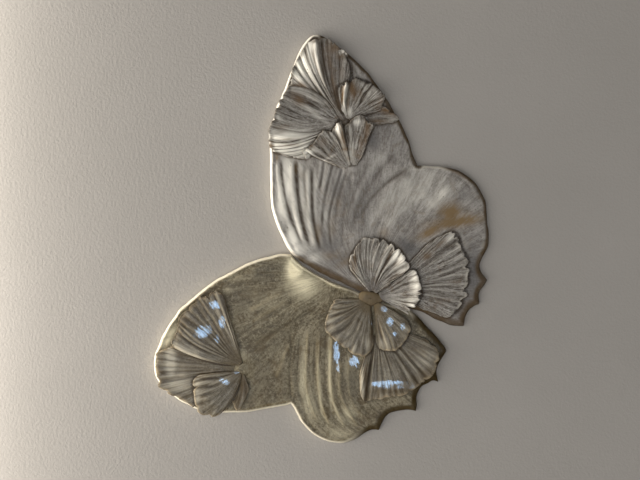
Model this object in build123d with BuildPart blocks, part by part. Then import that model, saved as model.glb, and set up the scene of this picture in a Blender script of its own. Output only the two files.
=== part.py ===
"""Butterfly wall ornament in glazed stoneware: two hollow-backed wing slabs with pleated clay fans.

The wall is the XZ plane at Y = 0. X runs to the right, Z up, and the ornament stands out towards -Y.
The origin is the hub where both halves meet, on the wall. Lengths are in millimetres.
"""

import os
from math import cos, radians, sin

from build123d import *

# Overall size: every outline and place is a share of the span, measured from the hub.
span = 440

# Wing slabs
slab_height = 12.5
slab_skin = 6.5
edge_round = 6
seam_gap = 0.8

# Finger-drawn flutes in the slabs' front
flute_width = 9
flute_depth = 1.5
flute_slope = 60

# Clay rings in the hollow back that hang each half on two nails
ring_radius = 13
nail_radius = 4.5
ring_clearance = 0.5

# Pad pressed over the stems at the hub
pad_radius = 8.5
pad_height = 6
pad_round = 4

# Fans: a leaf of clay, thick at the stem, pleated and lifted towards the rim
leaf_thickness = 3
stem_thickness = 3.6
pleat_depth = 2.6
valley_share = 0.96
seat_share = 0.3
shoulder_share = 0.55

# The halves meet along the seam. Each wing's inner edge runs on past it at both ends.
seam_shares = [(0.0875, -0.037), (0.055, -0.0275), (0.02, -0.015), (-0.0125, -0.003)]

white_tail_shares = [(0.235, -0.0825), (0.1825, -0.0725), (0.125, -0.0463)]
white_body_shares = [(-0.075, 0.0335), (-0.125, 0.0563), (-0.165, 0.074), (-0.19, 0.0925)]
white_edge_shares = [
    [(-0.19, 0.0925), (-0.2275, 0.1575), (-0.2475, 0.2325), (-0.25, 0.3325), (-0.2375, 0.4475),
     (-0.205, 0.5325), (-0.165, 0.6225), (-0.1425, 0.6438)],
    [(-0.1425, 0.6438), (-0.0925, 0.6238), (-0.0375, 0.5825), (0.01, 0.53), (0.0475, 0.475),
     (0.0875, 0.4025), (0.105, 0.3525), (0.1175, 0.3188)],
    [(0.1175, 0.3188), (0.175, 0.3163), (0.2325, 0.3), (0.2775, 0.2525), (0.2925, 0.1925),
     (0.2963, 0.1325), (0.2788, 0.0875), (0.2763, 0.0625), (0.2925, 0.0325)],
    [(0.2925, 0.0325), (0.2775, 0.01), (0.2725, -0.01), (0.275, -0.0288)],
    [(0.275, -0.0288), (0.2475, -0.045), (0.235, -0.0825)],
]

olive_tail_shares = [(0.1913, -0.145), (0.16, -0.1025), (0.125, -0.0625)]
olive_body_shares = [(-0.075, 0.015), (-0.125, 0.0338), (-0.1675, 0.0625), (-0.2, 0.0963)]
olive_edge_shares = [
    [(0.1913, -0.145), (0.175, -0.17), (0.165, -0.195), (0.17, -0.2225)],
    [(0.17, -0.2225), (0.13, -0.2325), (0.1163, -0.2625), (0.115, -0.295)],
    [(0.115, -0.295), (0.0825, -0.2925), (0.05, -0.3), (0.0225, -0.3425)],
    [(0.0225, -0.3425), (-0.0325, -0.3625), (-0.0875, -0.3738), (-0.1475, -0.3475),
     (-0.1825, -0.3025), (-0.2, -0.2788)],
    [(-0.2, -0.2788), (-0.275, -0.2925), (-0.35, -0.2975), (-0.415, -0.2975),
     (-0.4575, -0.2775), (-0.495, -0.255), (-0.525, -0.235)],
    [(-0.525, -0.235), (-0.54, -0.18), (-0.53, -0.135), (-0.5, -0.075), (-0.4575, -0.025),
     (-0.4025, 0.02), (-0.325, 0.065), (-0.25, 0.0913), (-0.2, 0.0963)],
]

# The hollow back leaves a turned-down rim of clay all round.
white_hollow_shares = [
    (-0.2275, 0.33), (-0.215, 0.44), (-0.18, 0.54), (-0.1375, 0.61), (-0.05, 0.56), (0.03, 0.46),
    (0.085, 0.345), (0.13, 0.29), (0.21, 0.28), (0.265, 0.2), (0.265, 0.12), (0.255, 0.03),
    (0.24, -0.03), (0.2, -0.05), (0.13, -0.022), (0.05, 0.005), (-0.06, 0.05), (-0.165, 0.1),
    (-0.21, 0.18),
]
olive_hollow_shares = [
    (-0.5, -0.2), (-0.5, -0.13), (-0.45, -0.05), (-0.35, 0.03), (-0.25, 0.068), (-0.19, 0.06),
    (-0.12, 0.008), (-0.03, -0.018), (0.07, -0.05), (0.15, -0.12), (0.14, -0.19), (0.095, -0.22),
    (0.085, -0.26), (0.02, -0.29), (-0.01, -0.33), (-0.08, -0.345), (-0.14, -0.32), (-0.19, -0.255),
    (-0.28, -0.265), (-0.4, -0.27),
]

# Each flute is a long leaf-shaped furrow from its first place through its second to its third.
white_flute_shares = [
    [(-0.2275, 0.33), (-0.205, 0.24), (-0.18, 0.14)],
    [(-0.19, 0.335), (-0.175, 0.24), (-0.155, 0.12)],
    [(-0.15, 0.33), (-0.145, 0.22), (-0.13, 0.105)],
    [(-0.11, 0.31), (-0.11, 0.21), (-0.1, 0.1)],
    [(-0.065, 0.29), (-0.07, 0.2), (-0.065, 0.09)],
]

olive_flute_shares = [
    [(-0.175, 0.0), (-0.15, -0.14), (-0.13, -0.29)],
    [(-0.15, 0.005), (-0.12, -0.15), (-0.105, -0.32)],
    [(-0.12, 0.0), (-0.095, -0.16), (-0.08, -0.335)],
    [(-0.09, -0.07), (-0.07, -0.2), (-0.055, -0.335)],
    [(-0.06, -0.1), (-0.045, -0.21), (-0.03, -0.325)],
]

ring_place_shares = {
    "white_left_nail_ring": (-0.11, 0.235),
    "white_right_nail_ring": (0.14, 0.235),
    "olive_left_nail_ring": (-0.3625, -0.08),
    "olive_right_nail_ring": (-0.0625, -0.08),
}

pad_place_shares = (0, -0.0125)

# A fan's rim is a row of crests: the angle from +X in degrees, and shares of its reach and its rise.
fans = {
    "tip_fan_under": {
        "apex_shares": (-0.05, 0.4325), "reach": 53, "stem": 12, "rise": 2,
        "rim_shares": [(17, 0.7, 0.6), (9, 0.9, 1), (1, 1, 1), (-6, 0.73, 0.8), (-13, 0.5, 0.5)],
    },
    "tip_fan_left": {
        "apex_shares": (-0.08, 0.425), "reach": 77, "stem": 6, "rise": 8,
        "rim_shares": [(150, 0.88, 0.8), (157, 0.9, 1), (164, 0.9, 1), (174, 0.92, 1), (182, 0.97, 1),
                       (187, 1, 0.9), (194, 1.01, 0.8), (201, 1.02, 0.7), (210, 0.91, 0.6),
                       (217, 0.81, 0.5), (227, 0.68, 0.4)],
    },
    "tip_fan_top": {
        "apex_shares": (-0.0725, 0.4425), "reach": 88, "stem": 6, "rise": 9,
        "rim_shares": [(147, 0.75, 0.7), (137, 0.84, 0.9), (128, 0.89, 1), (120, 0.95, 1),
                       (113, 1.01, 1), (106, 0.99, 0.9), (101, 0.99, 0.8), (96, 0.93, 0.7),
                       (90, 0.83, 0.6), (84, 0.74, 0.6), (78, 0.6, 0.6)],
    },
    "tip_fan_right": {
        "apex_shares": (-0.055, 0.4375), "reach": 46, "stem": 5, "rise": 10,
        "rim_shares": [(95, 0.84, 1), (88, 0.88, 1), (80, 0.94, 1), (69, 0.94, 0.9), (57, 0.96, 0.8),
                       (45, 1.01, 0.8), (36, 1.04, 0.8), (27, 0.95, 0.7), (19, 0.8, 0.6)],
    },
    "tip_fan_front": {
        "apex_shares": (-0.045, 0.3025), "reach": 60, "stem": 6, "rise": 14,
        "rim_shares": [(154, 0.93, 0.9), (146, 0.89, 1), (137, 0.875, 1), (127, 0.91, 1),
                       (117, 0.86, 1), (107, 0.95, 1), (99, 0.87, 1), (92, 0.91, 1), (84, 1, 1),
                       (76, 1.03, 1), (67, 0.93, 0.9)],
    },
    "outer_fan": {
        "apex_shares": (0.055, 0.0125), "reach": 92, "stem": 20, "rise": 9,
        "rim_shares": [(51, 0.5, 0.4), (48, 0.72, 0.6), (44, 0.93, 0.8), (38, 1, 0.9), (31, 0.98, 0.9),
                       (24, 0.98, 1), (16, 0.98, 1), (9, 0.95, 1), (1, 0.905, 0.9), (-7, 0.88, 0.9),
                       (-15, 0.845, 0.9), (-22, 0.81, 0.8), (-28, 0.74, 0.7)],
    },
    "hub_fan_right": {
        "apex_shares": (0.015, -0.0075), "reach": 50, "stem": 6, "rise": 11,
        "rim_shares": [(38, 0.9, 0.9), (30, 0.99, 1), (21, 1, 1), (11, 0.99, 1), (2, 1, 1),
                       (-8, 0.95, 0.9), (-16, 0.93, 0.8), (-23, 0.86, 0.8), (-29, 0.8, 0.7)],
    },
    "hub_fan_upper": {
        "apex_shares": (0.005, 0), "reach": 59, "stem": 6, "rise": 12,
        "rim_shares": [(121, 0.78, 0.9), (113, 0.87, 0.9), (105, 0.94, 0.9), (97, 1, 0.9),
                       (89, 1, 0.9), (81, 1.01, 0.9), (74, 0.98, 1), (66, 0.96, 1), (57, 0.93, 1),
                       (48, 0.9, 1), (39, 0.86, 1), (31, 0.66, 0.9)],
    },
    "side_fan_under": {
        "apex_shares": (-0.3375, -0.1875), "reach": 88, "stem": 34, "rise": 5,
        "rim_shares": [(167, 0.95, 0.8), (173, 1.01, 0.8), (180, 0.97, 1), (187, 0.95, 1),
                       (194, 0.97, 1), (202, 0.85, 1), (211, 0.76, 0.8), (219, 0.7, 0.6)],
    },
    "side_fan_lower": {
        "apex_shares": (-0.3225, -0.1975), "reach": 62, "stem": 6, "rise": 11,
        "rim_shares": [(189, 0.78, 1), (198, 0.89, 1), (208, 0.93, 1), (219, 1, 1), (229, 1, 0.8),
                       (239, 0.92, 0.7), (249, 0.77, 0.6), (259, 0.68, 0.5), (273, 0.63, 0.5),
                       (287, 0.5, 0.5), (297, 0.4, 0.4)],
    },
    "side_fan_upper": {
        "apex_shares": (-0.325, -0.1725), "reach": 85, "stem": 6, "rise": 13,
        "rim_shares": [(105, 0.8, 0.7), (110, 0.93, 0.8), (116, 0.95, 0.8), (122, 1, 0.8),
                       (129, 0.96, 0.8), (136, 0.95, 0.8), (143, 0.95, 0.9), (150, 0.91, 0.9),
                       (157, 0.87, 1), (164, 0.9, 1), (169, 0.87, 1), (174, 0.64, 0.9)],
    },
    "lower_fan": {
        "apex_shares": (0.015, -0.0725), "reach": 88, "stem": 16, "rise": 8,
        "rim_shares": [(252, 0.66, 0.8), (256, 0.87, 0.9), (261, 1, 1), (267, 0.98, 1), (274, 0.97, 1),
                       (281, 0.96, 1), (288, 0.95, 1), (295, 0.97, 1), (303, 0.96, 1), (311, 0.98, 1),
                       (321, 0.96, 0.9), (331, 0.88, 0.8), (338, 0.77, 0.8), (342, 0.63, 0.7)],
    },
    "hub_fan_left": {
        "apex_shares": (-0.0025, -0.0175), "reach": 61, "stem": 10, "rise": 10,
        "rim_shares": [(174, 0.45, 0.5), (185, 0.68, 0.7), (196, 0.77, 0.8), (206, 0.84, 1),
                       (214, 0.93, 1), (225, 0.93, 1), (234, 0.94, 1), (243, 0.96, 1), (253, 0.98, 1),
                       (263, 1.02, 1), (271, 0.9, 1)],
    },
    "hub_fan_lower": {
        "apex_shares": (0.01, -0.0175), "reach": 59, "stem": 9, "rise": 12,
        "rim_shares": [(270, 0.8, 0.9), (277, 0.89, 0.9), (284, 0.96, 1), (292, 1.02, 1),
                       (301, 0.97, 1), (311, 0.93, 1), (320, 0.87, 0.9), (328, 0.7, 0.8), (333, 0.54, 0.7)],
    },
}


hollow_depth = slab_height - slab_skin


def at(shares):
    """Return a place on the wall plane, in millimetres from the hub."""
    across, up = shares
    return across * span, up * span


def draw_outline(tail, body, edges, seam_shift):
    """Draw a wing's outline: the inner edge, with its seam moved off the other half, and the outer edges."""
    seam = [(x, z + seam_shift) for x, z in map(at, seam_shares)]
    Spline(*map(at, tail), *seam, *map(at, body))
    for edge in edges:
        Spline(*map(at, edge))


def draw_flute(places):
    """Draw a flute's two sides, bowed half its width apart on each side of its middle place."""
    start, (across, up), end = map(at, places)
    ThreePointArc(start, (across - flute_width / 2, up), end)
    ThreePointArc(start, (across + flute_width / 2, up), end)


def wing_slab(tail, body, edges, seam_shift, hollow, flutes):
    """Make one wing: a slab with a rounded front edge, a turned-down rim and finger flutes."""
    with BuildPart() as slab:
        with BuildSketch(Plane.XZ):
            with BuildLine():
                draw_outline(tail, body, edges, seam_shift)
            make_face()
        extrude(amount=slab_height)
        front = slab.faces().sort_by(Axis.Y)[0]
        fillet(front.edges(), radius=edge_round)
        with BuildSketch(Plane.XZ):
            with BuildLine():
                Spline(*map(at, hollow), periodic=True)
            make_face()
        extrude(amount=hollow_depth, mode=Mode.SUBTRACT)
        for places in flutes:
            with BuildSketch(Plane.XZ.offset(slab_height)):
                with BuildLine():
                    draw_flute(places)
                make_face()
            extrude(amount=-flute_depth, taper=flute_slope, mode=Mode.SUBTRACT)
    return slab.part


def fan_marks(rim_shares):
    """List a fan's radial lines: a crest at each rim place and a shorter valley half way to the next."""
    marks = []
    for place, following in zip(rim_shares, rim_shares[1:]):
        angle, out, lift = [(a + b) / 2 for a, b in zip(place, following)]
        marks += [(*place, pleat_depth), (angle, out * valley_share, lift, 0)]
    return marks + [(*rim_shares[-1], pleat_depth)]


def pleated_fan(apex_shares, reach, stem, rise, rim_shares):
    """Loft a fan through its radial lines, flat where it is pressed on and lifted at the rim."""
    x, z = at(apex_shares)
    seat = stem + (reach - stem) * seat_share
    shoulder = stem + (reach - stem) * shoulder_share
    with BuildPart() as leaf:
        for angle, out_share, lift_share, crest in fan_marks(rim_shares):
            across, up = cos(radians(angle)), sin(radians(angle))
            line = Plane((x, -slab_height, z), x_dir=(across, 0, up), z_dir=(up, 0, -across))
            out = reach * out_share
            rim = rise * lift_share + crest
            bend = (out - seat) * (shoulder - seat) / (reach - seat)
            with BuildSketch(line):
                with BuildLine():
                    Polyline(
                        (stem, 0),
                        (seat, 0),
                        (out, rim),
                        (out, rim + leaf_thickness),
                        (seat + bend, rim * bend / (out - seat) + leaf_thickness + crest / 4),
                        (stem, stem_thickness),
                        close=True,
                    )
                make_face()
        loft(ruled=True)
    return leaf.part


os.makedirs("parts", exist_ok=True)

with BuildPart() as white_wing:
    add(wing_slab(white_tail_shares, white_body_shares, white_edge_shares, seam_gap / 2,
                  white_hollow_shares, white_flute_shares))
white_wing.part.label = "white_wing"
export_step(white_wing.part, "parts/white_wing.step")

with BuildPart() as olive_wing:
    add(wing_slab(olive_tail_shares, olive_body_shares, olive_edge_shares, -seam_gap / 2,
                  olive_hollow_shares, olive_flute_shares))
olive_wing.part.label = "olive_wing"
export_step(olive_wing.part, "parts/olive_wing.step")

for name, sizes in fans.items():
    with BuildPart() as fan:
        add(pleated_fan(**sizes))
    fan.part.label = name
    export_step(fan.part, f"parts/{name}.step")

for name, place_shares in ring_place_shares.items():
    with BuildPart() as nail_ring:
        with BuildSketch(Plane.XZ.offset(ring_clearance)):
            with Locations(at(place_shares)):
                Circle(ring_radius)
                Circle(nail_radius, mode=Mode.SUBTRACT)
        extrude(amount=hollow_depth - ring_clearance)
    nail_ring.part.label = name
    export_step(nail_ring.part, f"parts/{name}.step")

with BuildPart() as hub_pad:
    with BuildSketch(Plane.XZ.offset(slab_height)):
        with Locations(at(pad_place_shares)):
            Circle(pad_radius)
    extrude(amount=pad_height)
    fillet(hub_pad.faces().sort_by(Axis.Y)[0].edges(), radius=pad_round)
hub_pad.part.label = "hub_pad"
export_step(hub_pad.part, "parts/hub_pad.step")
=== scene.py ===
"""Looks of the butterfly wall ornament: two glazed wing slabs with pleated clay fans, on a painted wall.

Places are read off the photograph in its 640 x 480 frame and brought to the wall in metres. Heights are in
millimetres, from the wall for the slabs and from the slabs' front for what lies on them.
"""

import math

import bpy
import numpy as np
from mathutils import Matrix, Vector
from mathutils.geometry import delaunay_2d_cdt


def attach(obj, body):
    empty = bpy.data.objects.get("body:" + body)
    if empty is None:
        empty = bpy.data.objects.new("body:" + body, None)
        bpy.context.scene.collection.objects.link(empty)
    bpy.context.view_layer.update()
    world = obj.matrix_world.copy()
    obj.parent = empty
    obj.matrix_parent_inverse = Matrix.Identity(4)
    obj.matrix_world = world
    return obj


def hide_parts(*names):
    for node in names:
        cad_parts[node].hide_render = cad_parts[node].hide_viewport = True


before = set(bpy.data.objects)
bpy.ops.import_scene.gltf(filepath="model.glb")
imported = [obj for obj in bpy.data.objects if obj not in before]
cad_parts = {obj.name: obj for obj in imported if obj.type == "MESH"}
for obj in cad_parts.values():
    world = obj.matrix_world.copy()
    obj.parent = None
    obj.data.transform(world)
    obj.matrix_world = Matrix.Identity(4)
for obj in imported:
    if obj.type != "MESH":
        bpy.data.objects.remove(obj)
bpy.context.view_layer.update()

# The photograph: metres a pixel at the slabs' widest line, its centre, and the hub's place in it
PIXEL = 0.0011
MM = 0.001
PHOTO_WIDTH = 640
CENTRE = (320, 240)
HUB = (370, 293)
CAMERA_DISTANCE = 1.25
SENSOR_WIDTH = 36

# Slabs, in mm: the front's height, its rounded edge, the widest line, and the back's hollow with its slope
SLAB_TOP = 12.5
SLAB_ROUND = 6.0
SLAB_WIDEST = SLAB_TOP - SLAB_ROUND
HOLLOW = 6.0
HOLLOW_START, HOLLOW_END = 7.2, 11.4

# How finely the slabs are meshed: steps along outlines and furrow lines in pixels, then insets of the rings
# beside the edge, and the grid's pitch and start, in mm
OUTLINE_STEP = 1.1
LINE_STEP = 6
FRONT_RINGS = (0.25, 0.7, 1.3, 2.0, 2.8, 3.7, 4.7, 5.9, 7.2, 8.6)
FRONT_PITCH, FRONT_START = 1.5, 9.5
BACK_RINGS = (2.5, 5, 7.5, 8.7, 9.9, 11.1)
BACK_PITCH, BACK_START = 4.0, 12.6
# Side loops down to the wall: share of the way down, inset in mm, how bare
SIDE_LOOPS = ((0.35, -0.12, 0), (0.7, 0.0, 0.15), (0.9, 0.35, 0.75), (1.0, 1.1, 1))


def place(px, py, height):
    """Return x and z in metres of what the photograph shows at a pixel, at a height off the wall in mm."""
    shrink = 1 - (height - SLAB_WIDEST) * MM / CAMERA_DISTANCE
    x = (CENTRE[0] - HUB[0] + (px - CENTRE[0]) * shrink) * PIXEL
    z = (HUB[1] - CENTRE[1] + (CENTRE[1] - py) * shrink) * PIXEL
    return x, z


def smooth(points, step):
    """Return points every `step` pixels along a smooth curve through rows that start with x and y."""
    rows = np.array(points, float)
    ends = np.vstack([2 * rows[0] - rows[1], rows, 2 * rows[-1] - rows[-2]])
    t = np.linspace(0, 1, 12, endpoint=False)[:, None]
    runs = []
    for a, b, c, d in zip(ends, ends[1:], ends[2:], ends[3:]):
        cubic = (2 * a - 5 * b + 4 * c - d) * t**2 + (3 * b - 3 * c + d - a) * t**3
        runs.append(0.5 * (2 * b + (c - a) * t + cubic))
    fine = np.vstack(runs + [rows[-1:]])
    length = np.r_[0, np.cumsum(np.hypot(*np.diff(fine[:, :2], axis=0).T))]
    where = np.linspace(0, length[-1], max(2, round(length[-1] / step)) + 1)
    return np.column_stack([np.interp(where, length, column) for column in fine.T])


def ease(low, high, value):
    """Return 0 below low, 1 above high, and a smooth rise between."""
    t = np.clip((value - low) / (high - low), 0, 1)
    return t * t * (3 - 2 * t)


def wobble(x, y, size, seed):
    """Return a smooth random field from about -1 to 1 with bumps of about `size`."""
    rng = np.random.default_rng(seed)
    total = np.zeros_like(x, float)
    for _ in range(7):
        turn = rng.uniform(0, 2 * math.pi)
        pitch = 2 * math.pi / (size * rng.uniform(1.2, 3))
        total += np.sin((x * math.cos(turn) + y * math.sin(turn)) * pitch + rng.uniform(0, 2 * math.pi))
    return total / 3


def spots(px, py, rows):
    """Return the strongest of a few soft spots: rows of x, y, radius across and up, turn and strength."""
    total = np.zeros_like(px, float)
    for x, y, across, up, turn, strength in rows:
        c, s = math.cos(math.radians(turn)), math.sin(math.radians(turn))
        u = ((px - x) * c - (py - y) * s) / across
        v = ((px - x) * s + (py - y) * c) / up
        total = np.maximum(total, strength * np.exp(-(u * u + v * v)))
    return total


def line_field(px, py, line):
    """Return the distance to a line through a few places, positive right of it, and the share along it."""
    line = smooth(line, LINE_STEP)
    best = np.full(px.shape, 1e9)
    side = np.zeros(px.shape)
    along = np.zeros(px.shape)
    for i, (a, b) in enumerate(zip(line, line[1:])):
        d = b - a
        t = np.clip(((px - a[0]) * d[0] + (py - a[1]) * d[1]) / (d @ d), 0, 1)
        gap = np.hypot(px - a[0] - t * d[0], py - a[1] - t * d[1])
        near = gap < best
        best = np.where(near, gap, best)
        side = np.where(near, np.sign((px - a[0]) * -d[1] + (py - a[1]) * d[0]), side)
        along = np.where(near, (i + t) / (len(line) - 1), along)
    return best * -side, along


def furrows(px, py, rows):
    """Return how far furrows raise the clay in mm, how dark they leave the glaze, and how pale, partly as
    painted light.

    A row is a line, its kind, its width in pixels and its size in mm. A flute is a sharp valley with a
    raised lip left of it, a groove is an even dent, and a ridge an even crest.
    """
    rise, dark, light = np.zeros(px.shape), np.zeros(px.shape), np.zeros(px.shape)
    for seed, (line, kind, width, size) in enumerate(rows):
        gap, along = line_field(px, py, line)
        size = size * ease(0, 0.12, along) * (1 - ease(0.82, 1, along))
        size = size * (1 + 0.25 * wobble(px, py, 18, seed))
        if kind == "flute":
            wall = np.where(gap < 0, 0.4 * width, 0.95 * width)
            lip = 0.45 * np.exp(-((gap + 1.2 * width) / width) ** 2)
            rise += size * (lip - np.exp(-((gap / wall) ** 2)))
            dark += size * np.exp(-((gap / (0.42 * width)) ** 2))
            # A flute's pale bands are painted light, where its lip and the wall beside its valley catch the
            # light.
            light += size * np.exp(-(((gap - 1.1 * width) / (0.5 * width)) ** 2))
            light += 0.8 * size * np.exp(-(((gap + 1.5 * width) / (0.7 * width)) ** 2))
        elif kind == "groove":
            rise -= size * np.exp(-((gap / width) ** 2))
            dark += size * np.exp(-((gap / (0.6 * width)) ** 2))
        else:
            rise += size * np.exp(-((gap / width) ** 2))
            light += size * np.exp(-((gap / (0.6 * width)) ** 2))
    return rise, np.clip(dark, 0, 1), np.clip(light, 0, 1)


def make_piece(name, verts, faces, nodes, attributes, material):
    """Make a smooth mesh with the given material that stands for CAD nodes, which it hides."""
    mesh = bpy.data.meshes.new(name)
    mesh.from_pydata([tuple(v) for v in verts], [], [tuple(f) for f in faces])
    mesh.validate()
    mesh.polygons.foreach_set("use_smooth", [True] * len(mesh.polygons))
    for key, values in attributes.items():
        values = np.asarray(values, np.float32)
        if values.ndim == 1:
            mesh.attributes.new(key, "FLOAT", "POINT").data.foreach_set("value", values)
        else:
            mesh.attributes.new(key, "FLOAT_VECTOR", "POINT").data.foreach_set("vector", values.ravel())
    mesh.update()
    piece = bpy.data.objects.new(name, mesh)
    bpy.context.scene.collection.objects.link(piece)
    mesh.materials.append(material)
    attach(piece, "root")
    if nodes:
        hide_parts(*nodes)
    return piece


def nearest_edge(points, loop):
    """Return each point's distance to a closed loop, and the index of the loop's nearest side."""
    best = np.full(len(points), 1e9)
    nearest = np.zeros(len(points), int)
    for i, (a, b) in enumerate(zip(loop, np.roll(loop, -1, axis=0))):
        d = b - a
        t = np.clip((points - a) @ d / (d @ d), 0, 1)
        gap = np.hypot(*(points - a - t[:, None] * d).T)
        nearer = gap < best
        best[nearer] = gap[nearer]
        nearest[nearer] = i
    return best, nearest


def inward_normals(loop, reach=1):
    """Return a closed loop's unit normals that point inwards, taken over a few of its points."""
    toward = np.roll(loop, -reach, axis=0) - np.roll(loop, reach, axis=0)
    normal = np.column_stack([-toward[:, 1], toward[:, 0]]) / (np.hypot(*toward.T)[:, None] + 1e-9)
    turn = np.sum(loop[:, 0] * np.roll(loop[:, 1], -1) - loop[:, 1] * np.roll(loop[:, 0], -1))
    return normal * np.sign(turn)


def inside(points, loop):
    """Return which points lie inside a closed loop."""
    x, y = points.T
    hit = np.zeros(len(points), bool)
    for (ax, ay), (bx, by) in zip(loop, np.roll(loop, -1, axis=0)):
        rows = np.flatnonzero((ay > y) != (by > y))
        hit[rows] ^= x[rows] < ax + (y[rows] - ay) * (bx - ax) / (by - ay)
    return hit


def triangulate(loop, rings, pitch, margin):
    """Fill a closed loop in mm: points on inset rings, then a grid that keeps `margin` from the edge."""
    normal = inward_normals(loop)
    found = []
    for inset in rings:
        ring = loop + normal * inset
        ring = ring[inside(ring, loop)]
        found.append(ring[nearest_edge(ring, loop)[0] > inset * 0.97])
    low, high = loop.min(0), loop.max(0)
    columns = np.arange(low[0], high[0], pitch)
    lines = np.arange(low[1], high[1], pitch * math.sqrt(3) / 2)
    grid = np.array([(x + (i % 2) * pitch / 2, y) for i, y in enumerate(lines) for x in columns])
    grid = grid[inside(grid, loop)]
    found.append(grid[nearest_edge(grid, loop)[0] > margin])
    points = np.vstack([loop] + found)
    count = len(loop)
    edges = [(i, (i + 1) % count) for i in range(count)]
    result = delaunay_2d_cdt([Vector(p) for p in points], edges, [], 1, 1e-6, True)
    verts = np.array([tuple(v) for v in result[0]])
    first = {}
    for i, origins in enumerate(result[3]):
        for origin in origins:
            first[origin] = i
    boundary = [first[i] for i in range(count)]
    tris = np.array(result[2])
    tris = tris[inside(verts[tris].mean(1), loop)]
    return verts, tris, boundary


def wing(name, sections, surface, material):
    """Make a wing slab: a rounded glazed front, sides, and a hollow bare back with a turned-down rim."""
    rows = np.vstack([smooth(section, OUTLINE_STEP)[:-1] for section in sections])
    x, z = place(rows[:, 0], rows[:, 1], SLAB_WIDEST)
    loop = np.column_stack([x, z]) / MM
    loop += 0.18 * np.column_stack([wobble(*loop.T, 9, 3), wobble(*loop.T, 9, 4)])
    if np.sum(loop[:, 0] * np.roll(loop[:, 1], -1) - loop[:, 1] * np.roll(loop[:, 0], -1)) < 0:
        loop = loop[::-1]
    verts, tris, boundary = triangulate(loop, FRONT_RINGS, FRONT_PITCH, FRONT_START)
    edge, nearest = nearest_edge(verts, loop)
    edge[boundary] = 0
    facing = -inward_normals(loop, 6)[nearest] * (1, -1)
    px = HUB[0] + verts[:, 0] * MM / PIXEL
    py = HUB[1] - verts[:, 1] * MM / PIXEL
    height, marks = surface(px, py, edge, facing)
    front = np.column_stack([verts[:, 0], -height, verts[:, 1]])
    parts = [front]
    faces = [tuple(t) if tri_faces_front(front, t) else tuple(t[::-1]) for t in tris]
    keys = {key: [values] for key, values in marks.items()}
    keys["bare"] = [np.zeros(len(front))]
    normal = inward_normals(loop)
    last = np.array(boundary)
    total = len(front)
    count = len(loop)
    edge_depth = front[boundary, 1]
    for share, inset, bare in SIDE_LOOPS:
        ring = loop + normal * inset
        parts.append(np.column_stack([ring[:, 0], edge_depth * (1 - share), ring[:, 1]]))
        row = np.arange(total, total + count)
        for i in range(count):
            j = (i + 1) % count
            faces.append((last[i], last[j], row[j], row[i])[::-1])
        for key, values in keys.items():
            values.append(np.full(count, bare) if key == "bare" else values[0][boundary])
        last = row
        total += count
    back, back_tris, back_edge = triangulate(ring, BACK_RINGS, BACK_PITCH, BACK_START)
    inset = nearest_edge(back, ring)[0]
    sink = HOLLOW * ease(HOLLOW_START, HOLLOW_END, inset)
    sink = sink + 0.12 * wobble(*back.T, 14, 8) * ease(0.5, 3, inset)
    parts.append(np.column_stack([back[:, 0], -np.maximum(sink, 0), back[:, 1]]))
    back_verts = parts[-1]
    swap = {int(b): int(last[i]) for i, b in enumerate(back_edge)}
    index = np.array([swap.get(i, total + i) for i in range(len(back))])
    for t in back_tris:
        t = tuple(t[::-1]) if tri_faces_front(back_verts, t) else tuple(t)
        faces.append(tuple(index[list(t)]))
    for key, values in keys.items():
        values.append(np.full((len(back),) + values[0].shape[1:], 1.0 if key == "bare" else 0.0))
    everything = np.vstack(parts) * MM
    used = np.zeros(len(everything), bool)
    used[np.concatenate([np.array(f) for f in faces])] = True
    renumber = np.cumsum(used) - 1
    faces = [tuple(int(renumber[i]) for i in f) for f in faces]
    attributes = {key: np.concatenate(values)[used] for key, values in keys.items()}
    return make_piece(name, everything[used], faces, [name], attributes, material)


def tri_faces_front(verts, tri):
    """Return whether a triangle's normal points away from the wall."""
    a, b, c = verts[list(tri)]
    return np.cross(b - a, c - a)[1] < 0


def rounded(edge, px, py, facing, broad_way):
    """Return the slab's height in mm: full inside, rounded towards the edge, with a soft bead and a dip.

    The rounding is broader where the edge faces `broad_way` (right and down in the photograph).
    """
    broad = ease(-0.2, 0.6, facing @ np.array(broad_way))
    radius = 4.2 + 3.4 * broad + 0.5 * wobble(px, py, 30, 11)
    inset = np.minimum(edge, radius)
    height = SLAB_WIDEST + SLAB_ROUND * np.sqrt(np.maximum(0, 1 - (1 - inset / radius) ** 2))
    bead = 0.5 * np.exp(-(((edge - 0.75 * radius) / 1.5) ** 2))
    bead -= 0.6 * np.exp(-(((edge - radius - 1.6) / 1.7) ** 2))
    return height + bead * (1 - broad) * (1 + 0.5 * wobble(px, py, 22, 12))


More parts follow.
